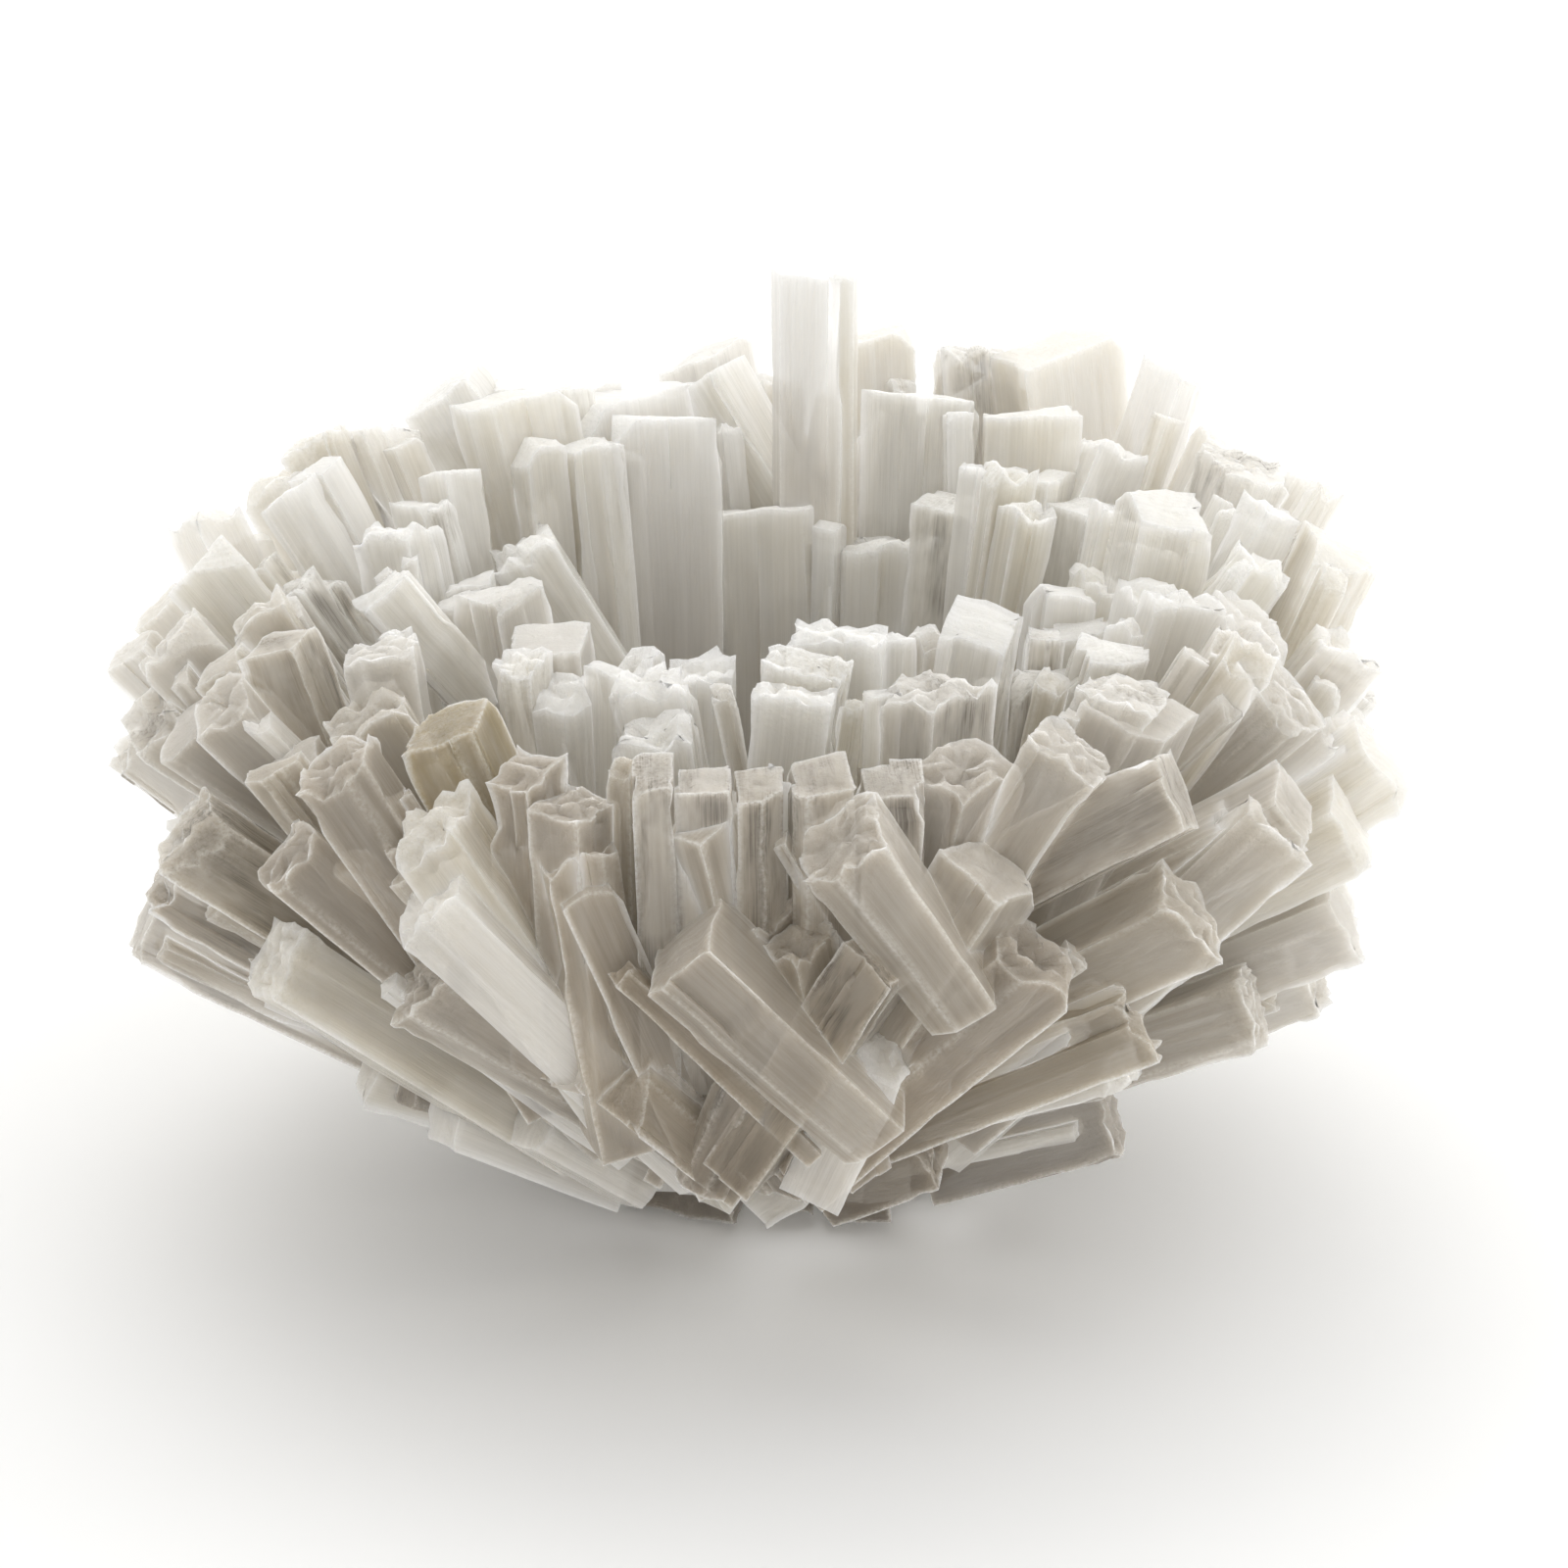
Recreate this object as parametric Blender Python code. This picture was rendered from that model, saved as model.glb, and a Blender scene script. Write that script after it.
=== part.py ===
"""Satin spar bowl: raw sticks of fibrous gypsum glued in rings round a low foot, hollow in the middle.

Units are metres, +Z is up. The viewer of the reference picture stands on the -Y side, and +X is to the
right. The origin is on the surface that the bowl rests on, under its centre. Sizes of sticks are given
in millimetres and angles in degrees, and turned to metres where the meshes are made.
"""

import itertools
import math
import random
from typing import NamedTuple

import bmesh
import bpy
import numpy as np
from mathutils import Matrix, Vector

MM = 0.001
COLLECTION_NAME = "satin_spar_bowl"
HELPERS_NAME = "satin_spar_bowl_helpers"

# A stick touches its neighbour with this gap, as glued faces do.
JOINT_GAP = 0.0003
# How far the usual sticks of a ring differ: shares of the ring's spacing, reach, height, width and depth,
# and degrees of pitch and swing.
BEARING_SPREAD = 0.12
REACH_SPREAD = (0.93, 1.03)
HEIGHT_SPREAD = (0.95, 1.05)
WIDTH_SPREAD = (0.80, 1.22)
DEPTH_SPREAD = (0.80, 1.10)
PITCH_SPREAD = 4
SWING_SPREAD = 8
STEEPEST_PITCH = 86.0
# The rim stands this much higher at the back than at the front.
BACK_LIFT = 0.08
# At the front, a stick fans out sideways: its run keeps this share of its way towards the viewer.
FRONT_RUN = 0.15
# In the middle of the fan, a run leans left or right by up to this much of its length.
FAN_SPREAD = 0.2
# Bearings (degrees) between which a stick's run turns from that of the fan to straight outwards.
FAN_BEARINGS = (45, 85)
# Under the front, feet stay above a line that rises this steeply from this far in front of the axis (mm).
UNDERSIDE_SLOPE = 0.56
UNDERSIDE_START = 42
# Sticks are glued to the outside of the innermost ring, whose outer side stands this far from the axis (mm).
WALL_REACH = 98
# The feet of the innermost ring come no nearer to the axis than this (mm).
FLOOR_REACH = 50
# The sticks of the foot run past the axis by this much (mm), and so cross there.
PAST_AXIS = 16
# No stick is longer than this (mm).
LONGEST_STICK = 150
# A stick's depth at its foot, as a share of that at its tip. Its width narrows with its distance from the axis.
FOOT_DEPTH = 0.85
LEAST_FOOT_WIDTH = 0.55
# Sticks that overlap by this much are grown together in one solid, up to the number that a ring allows.
LEAST_BOND = 0.0012
# A stick with no neighbour of its own takes one of these spare places in a fuller bundle.
SPARE_PLACES = 2
# Sticks of a bundle that overlap by less than this after the cuts are solids of their own.
LEAST_JOIN = 0.0004
# How far a section's corner strays from a true rectangle, as a share of the section.
CORNER_STRAY = 0.10
# Shares of a side that a split corner takes away, least and most.
CHAMFER_SHARES = (0.168, 0.392)
# A stick is turned about its own axis by up to this much (degrees).
MOST_ROLL = 22
# A tip's break leans by this much (degrees), and starts this share of the width below the tip.
BREAK_LEANS = (3, 13)
BREAK_DROP = 0.3
# The chip off a tip's corner: how steep it is, how far out it starts as a share of the way to the corner,
# and how far it turns aside from the corner (radians).
CHIP_STEEPNESS = (0.6, 1.2)
CHIP_STARTS = (0.5, 0.7)
CHIP_TURN = 0.5
# The exact solver gives up on some chains of joins, and either solver can leave sticks that touch along an
# edge. The sticks are then moved by this much more at every new attempt (metres), well under the joint gap.
NUDGE = 0.00002
JOIN_ATTEMPTS = 6
# Points nearer to each other than this are the same (metres).
SAME_POINT = 2e-6
# Every stick is cut off at the surface that the bowl rests on.
REST_LEVEL = 0.0
# A stick with less stone than this after its cuts has no place in the bowl (cubic metres).
LEAST_VOLUME = 1.2e-6
# Points this near to a cutting plane lie on it (metres).
ON_PLANE = 1e-7
# Directions of edges are compared where the sine of the angle between them is more than this.
LEAST_SINE = 0.2
# What a cut costs in the choice between planes. A point of a stick counts the more the nearer it is to the
# tip, and the wider the stick; a cut of both sticks, and a deep one, cost something too.
USUAL_WIDTH = 30
FOOT_WORTH = 0.01
BOTH_CUT_COST = 0.03
DEPTH_COST = 2
# The points that are counted lie on the axis and this share of the section off it.
OFF_AXIS = 0.38


class Ring(NamedTuple):
    """One ring of sticks round the bowl: the usual stick in it, and which sticks share a node with it."""

    name: str
    reach: float
    height: float
    pitch: float
    foot_height: float
    width: float
    depth: float
    spacing: float
    front_pull: float
    group: str
    most: int


class Stick(NamedTuple):
    """One raw stick, by its broken tip, its slope and its section."""

    ring: str
    bearing: float
    reach: float
    height: float
    pitch: float
    swing: float
    width: float
    depth: float
    most: float = LONGEST_STICK


# Spacing is the step in bearing from stick to stick. By front_pull, a share of its reach, a ring is nearer
# to the axis at the front.
RINGS = (
    Ring("foot", 80, 15, 5, 5, 42, 27, 36, 0.0, "foot", 10),
    Ring("skirt", 190, 98, 30, 36, 33, 26, 12, 0.20, "flank", 6),
    Ring("low_flank", 202, 136, 37, 52, 34, 26, 12, 0.11, "flank", 6),
    Ring("high_flank", 202, 169, 44, 68, 34, 26, 12, 0.06, "flank", 6),
    Ring("shoulder", 192, 194, 51, 86, 33, 26, 12, 0.03, "flank", 6),
    Ring("rim", 164, 208, 63, 106, 34, 27, 14.4, 0.0, "flank", 6),
    Ring("mid_rim", 130, 214, 76, 128, 36, 27, 18, 0.0, "wall", 4),
    Ring("inner_rim", 97, 210, 82, 24, 35, 24, 22.5, 0.0, "wall", 4),
)

# Sticks that stand out in the picture, read by hand: ring, bearing (0 is the front, 90 the right),
# reach from the axis, height, pitch, swing, width, depth, and the length of two that end in plain sight.
LANDMARKS = (
    Stick("foot", -30, 66, 15, 5, 10, 44, 26),
    Stick("foot", 14, 64, 16, 5, -10, 46, 28),
    Stick("foot", 50, 68, 14, 5, 6, 38, 26),
    Stick("skirt", -78, 207, 102, 32, -4, 29, 28),
    Stick("skirt", -60, 150, 66, 27, -12, 26, 24),
    Stick("skirt", -44, 149, 68, 29, -32, 26, 24),
    Stick("skirt", -30, 146, 76, 40, -42, 28, 25),
    Stick("skirt", -14, 146, 80, 46, -62, 22, 22),
    Stick("skirt", 4, 132, 66, 46, 70, 30, 25),
    Stick("skirt", 20, 146, 76, 32, 56, 30, 25),
    Stick("skirt", 36, 180, 108, 23, 40, 28, 27),
    Stick("skirt", 47, 150, 62, 23, 29, 28, 26),
    Stick("skirt", 53, 188, 106, 24, 24, 28, 26),
    Stick("skirt", 70, 184, 94, 26, 10, 27, 26),
    Stick("low_flank", -92, 212, 148, 42, 8, 26, 26),
    Stick("low_flank", -67, 205, 136, 38, -12, 28, 27),
    Stick("low_flank", -50, 200, 130, 40, -24, 29, 26),
    Stick("low_flank", -33, 194, 138, 38, -44, 28, 26),
    Stick("low_flank", -16, 184, 118, 46, -58, 30, 26),
    Stick("low_flank", 0, 178, 116, 66, 72, 30, 26),
    Stick("low_flank", 18, 182, 122, 44, 56, 30, 26),
    Stick("low_flank", 34, 196, 128, 30, 42, 30, 26),
    Stick("low_flank", 62, 199, 128, 30, 16, 27, 26),
    Stick("low_flank", 78, 190, 134, 36, 4, 28, 26),
    Stick("low_flank", 91, 190, 138, 38, -4, 30, 25),
    Stick("low_flank", 103, 190, 140, 38, 4, 27, 26),
    Stick("high_flank", -103, 209, 180, 48, 2, 22, 22),
    Stick("high_flank", -96, 212, 172, 50, 10, 22, 22),
    Stick("high_flank", -61, 207, 160, 40, -16, 29, 26),
    Stick("high_flank", -46, 203, 168, 46, -34, 28, 26),
    Stick("high_flank", -30, 201, 171, 50, -50, 28, 26),
    Stick("high_flank", -8, 198, 163, 46, -72, 35, 30, 84),
    Stick("high_flank", 10, 192, 158, 60, 66, 30, 26),
    Stick("high_flank", 24, 197, 154, 46, 56, 30, 26),
    Stick("high_flank", 38, 204, 160, 34, 40, 28, 26),
    Stick("high_flank", 60, 203, 162, 34, 16, 27, 26),
    Stick("high_flank", 83, 188, 164, 44, -6, 26, 25),
    Stick("high_flank", 94, 186, 172, 46, 4, 31, 26),
    Stick("high_flank", 106, 192, 176, 48, -4, 28, 26),
    Stick("shoulder", -119, 192, 211, 60, 4, 27, 25),
    Stick("shoulder", -109, 203, 204, 62, -8, 22, 22),
    Stick("shoulder", -42, 194, 199, 60, -42, 26, 25),
    Stick("shoulder", -31, 193, 191, 60, -52, 28, 25),
    Stick("shoulder", -19, 182, 186, 80, -40, 32, 27),
    Stick("shoulder", 5, 194, 198, 57, -84, 31, 28, 70),
    Stick("shoulder", 20, 186, 178, 62, 50, 30, 26),
    Stick("shoulder", 37, 196, 195, 35, 40, 29, 27),
    Stick("shoulder", 50, 201, 179, 36, 26, 27, 25),
    Stick("shoulder", 68, 202, 172, 40, 12, 28, 26),
    Stick("shoulder", 84, 186, 190, 54, 4, 28, 26),
    Stick("shoulder", 98, 188, 205, 66, -6, 32, 26),
    Stick("shoulder", 112, 197, 213, 58, 0, 22, 22),
    Stick("shoulder", 124, 188, 216, 64, -10, 26, 24),
    Stick("shoulder", 133, 192, 235, 66, -6, 24, 22),
    Stick("rim", -141, 182, 226, 60, 34, 34, 29),
    Stick("rim", -123, 182, 224, 66, 6, 36, 28),
    Stick("rim", -64, 168, 210, 72, -22, 24, 24),
    Stick("rim", -34, 172, 209, 68, -50, 28, 25),
    Stick("rim", -21, 179, 207, 86, -10, 36, 28),
    Stick("rim", -6, 173, 209, 87, 0, 48, 29),
    Stick("rim", 8, 172, 209, 87, 0, 42, 28),
    Stick("rim", 30, 177, 207, 60, 50, 28, 27),
    Stick("rim", 117, 180, 218, 72, -8, 30, 26),
    Stick("rim", 147, 178, 240, 78, 60, 46, 27),
    Stick("rim", 157, 176, 234, 79, 44, 30, 26),
    Stick("rim", 169, 176, 236, 82, 34, 27, 25),
    Stick("rim", -172, 174, 230, 76, 50, 34, 26),
    Stick("rim", -150, 172, 224, 80, -6, 28, 25),
    Stick("mid_rim", -169, 136, 230, 58, 60, 28, 24),
    Stick("mid_rim", -155, 128, 230, 80, 26, 60, 30),
    Stick("mid_rim", -117, 126, 222, 78, -8, 31, 26),
    Stick("mid_rim", -72, 130, 214, 52, -8, 22, 22),
    Stick("mid_rim", -55, 146, 214, 80, -30, 28, 25),
    Stick("mid_rim", -36, 118, 213, 84, 0, 30, 26),
    Stick("mid_rim", 22, 127, 214, 86, 20, 34, 28),
    Stick("mid_rim", 43, 155, 212, 68, 40, 32, 27),
    Stick("mid_rim", 113, 132, 208, 70, 20, 33, 28),
    Stick("mid_rim", 140, 134, 228, 80, 34, 34, 26),
    Stick("mid_rim", 174, 104, 278, 87, 0, 29, 28),
    Stick("inner_rim", -112, 92, 204, 58, 14, 32, 24),
    Stick("inner_rim", -21, 88, 209, 86, 0, 40, 25),
    Stick("inner_rim", 12, 92, 221, 87, 0, 30, 24),
    Stick("inner_rim", 43, 94, 215, 80, 20, 28, 24),
    Stick("inner_rim", 101, 112, 197, 78, 10, 30, 24),
    Stick("inner_rim", 141, 98, 204, 82, 0, 26, 24),
    Stick("inner_rim", 155, 94, 190, 82, 0, 38, 23),
    Stick("inner_rim", -178, 92, 198, 84, 0, 38, 24),
)

FOOT_HEIGHTS = {ring.name: ring.foot_height for ring in RINGS}
GROUPS = {ring.name: ring.group for ring in RINGS}
MOST_TOGETHER = {ring.group: ring.most for ring in RINGS}

# Colour of the stone (linear RGB) and its surface, for the plain solids.
STONE_COLOUR = (0.78, 0.75, 0.70, 1.0)
STONE_ROUGHNESS = 0.45


def clear_scene():
    """Removes what a new file holds."""
    for obj in list(bpy.data.objects):
        bpy.data.objects.remove(obj, do_unlink=True)


def new_collection(name):
    collection = bpy.data.collections.new(name)
    bpy.context.scene.collection.children.link(collection)
    return collection


def stone_material(name):
    """Raw satin spar: white to warm grey, no metal."""
    material = bpy.data.materials.new(name)
    material.use_nodes = True
    shader = material.node_tree.nodes["Principled BSDF"]
    shader.inputs["Base Color"].default_value = STONE_COLOUR
    shader.inputs["Roughness"].default_value = STONE_ROUGHNESS
    shader.inputs["Metallic"].default_value = 0.0
    material.diffuse_color = STONE_COLOUR
    return material


def usual_stick(ring, bearing):
    """A stick of the ring's usual form at this bearing, with the spread that raw sticks have."""
    spread = random.Random(f"{ring.name} {bearing:.1f}")
    front = math.cos(math.radians(bearing))
    bearing += spread.uniform(-BEARING_SPREAD, BEARING_SPREAD) * ring.spacing
    reach = ring.reach * (1 - ring.front_pull * max(0.0, front)) * spread.uniform(*REACH_SPREAD)
    height = ring.height * (1 + BACK_LIFT * max(0.0, -front)) * spread.uniform(*HEIGHT_SPREAD)
    start, end = FAN_BEARINGS
    outwards = min(1.0, max(0.0, (abs(bearing) - start) / (end - start)))
    forwards = FRONT_RUN + (1 - FRONT_RUN) * outwards
    sideways = math.sin(math.radians(bearing))
    sideways += spread.uniform(-FAN_SPREAD, FAN_SPREAD) * (1 - outwards)
    forwards *= math.cos(math.radians(bearing))
    steepness = math.tan(math.radians(ring.pitch)) / math.hypot(sideways, forwards)
    pitch = min(STEEPEST_PITCH, math.degrees(math.atan(steepness)))
    pitch += spread.uniform(-PITCH_SPREAD, PITCH_SPREAD)
    swing = math.degrees(math.atan2(sideways, forwards)) - bearing
    swing += spread.uniform(-SWING_SPREAD, SWING_SPREAD)
    width = ring.width * spread.uniform(*WIDTH_SPREAD)
    depth = ring.depth * spread.uniform(*DEPTH_SPREAD)
    return Stick(ring.name, bearing, reach, height, pitch, swing, width, depth)


def sticks_of(ring):
    """The ring's sticks in order of bearing: its landmarks, and usual sticks in the gaps between them."""
    placed = sorted((s for s in LANDMARKS if s.ring == ring.name), key=lambda s: s.bearing)
    if not placed:
        count = round(360 / ring.spacing)
        return [usual_stick(ring, -180 + 360 * i / count) for i in range(count)]
    found = []
    for here, following in zip(placed, placed[1:] + placed[:1]):
        gap = (following.bearing - here.bearing) % 360 or 360
        added = round(gap / ring.spacing) - 1
        found.append(here)
        for i in range(added):
            bearing = here.bearing + gap * (i + 1) / (added + 1)
            found.append(usual_stick(ring, (bearing + 180) % 360 - 180))
    return sorted(found, key=lambda s: s.bearing)


def tip_of(stick):
    """The middle of the stick's broken tip, in metres."""
    turn = math.radians(stick.bearing)
    reach = stick.reach * MM
    return Vector((math.sin(turn) * reach, -math.cos(turn) * reach, stick.height * MM))


def axis_of(stick):
    """The direction from the stick's foot to its tip."""
    turn = math.radians(stick.bearing + stick.swing)
    slope = math.radians(stick.pitch)
    flat = math.cos(slope)
    return Vector((math.sin(turn) * flat, -math.cos(turn) * flat, math.sin(slope)))


def length_of(stick):
    """The stick's length in metres: back from its tip to the innermost ring, or to its own ring's bed."""
    axis = axis_of(stick)
    tip = tip_of(stick)
    underside = UNDERSIDE_SLOPE * (-tip.y - UNDERSIDE_START * MM)
    length = (tip.z - max(FOOT_HEIGHTS[stick.ring] * MM, underside)) / axis.z
    if stick.ring == "foot":
        return min(length, (stick.reach + PAST_AXIS) * MM)
    nearest = FLOOR_REACH * MM
    if stick.ring != "inner_rim":
        nearest = WALL_REACH * MM
        length = min(length, stick.most * MM)
    flat = axis.x**2 + axis.y**2
    inwards = (tip.x * axis.x + tip.y * axis.y) / flat
    rest = inwards**2 - ((tip.x**2 + tip.y**2) - nearest**2) / flat
    if rest > 0 and inwards - math.sqrt(rest) > 0:
        length = min(length, inwards - math.sqrt(rest))
    return length


def section_corners(chance, width, depth):
    """Corners of the stick's section: a rough rectangle with up to two corners split off."""
    split = chance.sample(range(4), chance.choice((0, 1, 2)))
    corners = []
    for i, (x, y) in enumerate(((1, 1), (-1, 1), (-1, -1), (1, -1))):
        x *= 0.5 * width * (1 - chance.uniform(0, CORNER_STRAY))
        y *= 0.5 * depth * (1 - chance.uniform(0, CORNER_STRAY))
        share = chance.uniform(*CHAMFER_SHARES)
        if i not in split:
            corners.append((x, y))
        elif i % 2 == 0:
            corners += [(x, y * (1 - 2 * share)), (x * (1 - share), y)]
        else:
            corners += [(x * (1 - share), y), (x, y * (1 - 2 * share))]
    return corners


def cut(mesh, point, outward):
    """Cuts off what lies beyond the plane, and closes the cut with a flat face."""
    bmesh.ops.bisect_plane(
        mesh,
        geom=mesh.verts[:] + mesh.edges[:] + mesh.faces[:],
        dist=ON_PLANE,
        plane_co=point,
        plane_no=outward,
        clear_outer=True,
    )
    rim = [edge for edge in mesh.edges if edge.is_boundary]
    if rim:
        bmesh.ops.holes_fill(mesh, edges=rim, sides=0)
    bmesh.ops.recalc_face_normals(mesh, faces=mesh.faces[:])


def raw_stick(stick, name):
    """The stick before its neighbours crowd it: a prism with a slanting, chipped tip."""
    chance = random.Random(name)
    length = length_of(stick)
    axis = axis_of(stick)
    side = axis.cross(Vector((0, 0, 1))).normalized()
    roll = chance.uniform(-MOST_ROLL, MOST_ROLL) if stick.ring != "foot" else 0.0
    side.rotate(Matrix.Rotation(math.radians(roll), 3, axis))
    face = side.cross(axis)
    corners = section_corners(chance, stick.width * MM, stick.depth * MM)
    mesh = bmesh.new()
    bmesh.ops.create_cone(
        mesh, cap_ends=True, segments=len(corners), radius1=1, radius2=1, depth=1
    )
    foot = tip_of(stick) - axis * length
    foot_width = max(LEAST_FOOT_WIDTH, min(1.0, foot.xy.length / tip_of(stick).xy.length))
    step = 2 * math.pi / len(corners)
    for vert in mesh.verts:
        corner = corners[int(math.atan2(vert.co.y, vert.co.x) % (2 * math.pi) / step)]
        along = vert.co.z + 0.5
        width = corner[0] * (foot_width + (1 - foot_width) * along)
        depth = corner[1] * (FOOT_DEPTH + (1 - FOOT_DEPTH) * along)
        vert.co = foot + axis * along * length + side * width + face * depth
    bmesh.ops.recalc_face_normals(mesh, faces=mesh.faces[:])
    break_tip(mesh, chance, stick, tip_of(stick), axis, side, face)
    cut(mesh, Vector((0, 0, REST_LEVEL)), Vector((0, 0, -1)))
    return mesh


def break_tip(mesh, chance, stick, tip, axis, side, face):
    """A slanting break across the tip, and a chip off one of its corners."""
    width = stick.width * MM
    depth = stick.depth * MM
    turn = chance.uniform(0, 2 * math.pi)
    lean = math.tan(math.radians(chance.uniform(*BREAK_LEANS)))
    slant = (axis + (side * math.cos(turn) + face * math.sin(turn)) * lean).normalized()
    cut(mesh, tip - axis * lean * BREAK_DROP * width, slant)
    turn = math.atan2(depth * chance.choice((-1, 1)), width * chance.choice((-1, 1)))
    turn += chance.uniform(-CHIP_TURN, CHIP_TURN)
    across = side * math.cos(turn) + face * math.sin(turn)
    corner = 0.5 * (width * abs(math.cos(turn)) + depth * abs(math.sin(turn)))
    chip = (axis * chance.uniform(*CHIP_STEEPNESS) + across).normalized()
    cut(mesh, tip + across * corner * chance.uniform(*CHIP_STARTS), chip)


class Solid:
    """A stick's solid as it is cut, with the points that say how much of what shows a cut would take."""

    STATIONS = 12

    def __init__(self, stick, name):
        self.stick = stick
        self.name = name
        self.mesh = raw_stick(stick, name)
        axis = axis_of(stick)
        side = axis.cross(Vector((0, 0, 1))).normalized()
        face = side.cross(axis)
        tip = tip_of(stick)
        points = []
        worth = []
        for i in range(self.STATIONS):
            along = (i + 0.5) / self.STATIONS
            centre = tip - axis * (1 - along) * length_of(stick)
            for x, y in ((0, 0), (OFF_AXIS, 0), (-OFF_AXIS, 0), (0, OFF_AXIS), (0, -OFF_AXIS)):
                points.append(centre + side * x * stick.width * MM + face * y * stick.depth * MM)
                worth.append(FOOT_WORTH + along**3)
        self.points = np.array(points)
        self.worth = np.array(worth) * stick.width / USUAL_WIDTH
        self.read()

    def read(self):
        """Corners, face normals and edge directions of the mesh as it is now."""
        self.corners = np.array([vert.co[:] for vert in self.mesh.verts])
        self.normals = np.array([face.normal[:] for face in self.mesh.faces])
        runs = np.array([(e.verts[0].co - e.verts[1].co).normalized()[:] for e in self.mesh.edges])
        flip = np.where(runs[:, 0] < 0, -1.0, 1.0)
        self.runs = np.unique(np.round(runs * flip[:, None], 2), axis=0)

    def trim(self, outward, level):
        """Cuts off what lies beyond the level along the outward direction."""
        if (self.corners @ outward).max() <= level + ON_PLANE:
            return
        direction = Vector(outward)
        cut(self.mesh, direction * level, direction)
        self.worth[self.points @ outward > level] = 0
        if self.mesh.faces:
            self.read()

    def volume(self):
        return self.mesh.calc_volume() if len(self.mesh.faces) > 3 else 0.0


def directions_between(first, second):
    """(directions, first's highest level, second's lowest level) along faces and square to edges of both."""
    crosses = np.cross(first.runs[:, None, :], second.runs[None, :, :]).reshape(-1, 3)
    sizes = np.linalg.norm(crosses, axis=1)
    crosses = crosses[sizes > LEAST_SINE] / sizes[sizes > LEAST_SINE][:, None]
    found = np.concatenate([first.normals, -second.normals, crosses, -crosses])
    highest = (first.corners @ found.T).max(axis=0)
    lowest = (second.corners @ found.T).min(axis=0)
    return found, highest, lowest


def overlap_of(first, second):
    """How deep two sticks reach into each other, in metres. Below zero they are apart."""
    if boxes_apart(first, second):
        return -1.0
    _, highest, lowest = directions_between(first, second)
    return (highest - lowest).min()


def parting_plane(first, second):
    """(direction, level on the first, level on the second) of the plane that parts two sticks.

    The plane kept is the one that takes the least of what shows. None if they are already apart.
    """
    found, highest, lowest = directions_between(first, second)
    overlap = highest - lowest
    if overlap.min() < -JOINT_GAP:
        return None
    middle = (highest + lowest) / 2
    choices = (
        (highest, highest + JOINT_GAP, 0.0),
        (lowest - JOINT_GAP, lowest, 0.0),
        (middle - JOINT_GAP / 2, middle + JOINT_GAP / 2, BOTH_CUT_COST),
    )
    mine = first.points @ found.T
    theirs = second.points @ found.T
    best = None
    for near, far, extra in choices:
        cost = first.worth @ (mine > near) + second.worth @ (theirs < far) + extra
        cost = cost + np.maximum(overlap, 0) * DEPTH_COST
        i = int(cost.argmin())
        if best is None or cost[i] < best[0]:
            best = (cost[i], found[i], near[i], far[i])
    return best[1:]


def boxes_apart(first, second):
    low = np.maximum(first.corners.min(axis=0), second.corners.min(axis=0))
    high = np.minimum(first.corners.max(axis=0), second.corners.max(axis=0))
    return bool((low > high + JOINT_GAP).any())


def part_sticks(bundles):
    """Trims every two sticks of unlike bundles that overlap, so that each keeps its own side."""
    for ours, theirs in itertools.combinations(bundles, 2):
        for first, second in itertools.product(ours, theirs):
            if not first.mesh.faces or not second.mesh.faces or boxes_apart(first, second):
                continue
            plane = parting_plane(first, second)
            if plane is None:
                continue
            direction, near, far = plane
            first.trim(direction, near)
            second.trim(-direction, -far)


def bundles_of(solids):
    """Lists of sticks that share a node: those that reach deepest into each other are taken together first."""
    bonds = []
    for first, second in itertools.combinations(solids, 2):
        if GROUPS[first.stick.ring] == GROUPS[second.stick.ring]:
            depth = overlap_of(first, second)
            if depth > LEAST_BOND:
                bonds.append((round(depth, 6), first, second))
    bonds.sort(key=lambda bond: (-bond[0], bond[1].name, bond[2].name))
    bundle_of = {solid.name: [solid] for solid in solids}
    for spare in (0, SPARE_PLACES):
        for _, first, second in bonds:
            ours, theirs = bundle_of[first.name], bundle_of[second.name]
            most = MOST_TOGETHER[GROUPS[first.stick.ring]] + spare
            alone = min(len(ours), len(theirs)) == 1
            if ours is not theirs and len(ours) + len(theirs) <= most and (alone or not spare):
                ours += theirs
                for solid in theirs:
                    bundle_of[solid.name] = ours
    return [bundle_of[solid.name] for solid in solids if bundle_of[solid.name][0] is solid]


def joined_runs(bundle):
    """The bundle as lists of sticks that still reach into each other after the cuts."""
    left = list(bundle)
    runs = []
    while left:
        run = [left.pop(0)]
        for solid in run:
            near = [other for other in left if overlap_of(solid, other) > LEAST_JOIN]
            run += near
            left = [other for other in left if other not in near]
        runs.append(run)
    return runs


def mesh_object(solid, name, collection, material):
    data = bpy.data.meshes.new(name)
    solid.mesh.to_mesh(data)
    solid.mesh.free()
    data.materials.append(material)
    obj = bpy.data.objects.new(name, data)
    collection.objects.link(obj)
    return obj


def shells_of(mesh):
    """The mesh's faces as lists, one list for each closed shell."""
    left = set(mesh.faces)
    shells = []
    while left:
        shell = [left.pop()]
        for face in shell:
            for edge in face.edges:
                for other in edge.link_faces:
                    if other in left:
                        left.remove(other)
                        shell.append(other)
        shells.append(shell)
    return shells


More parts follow.
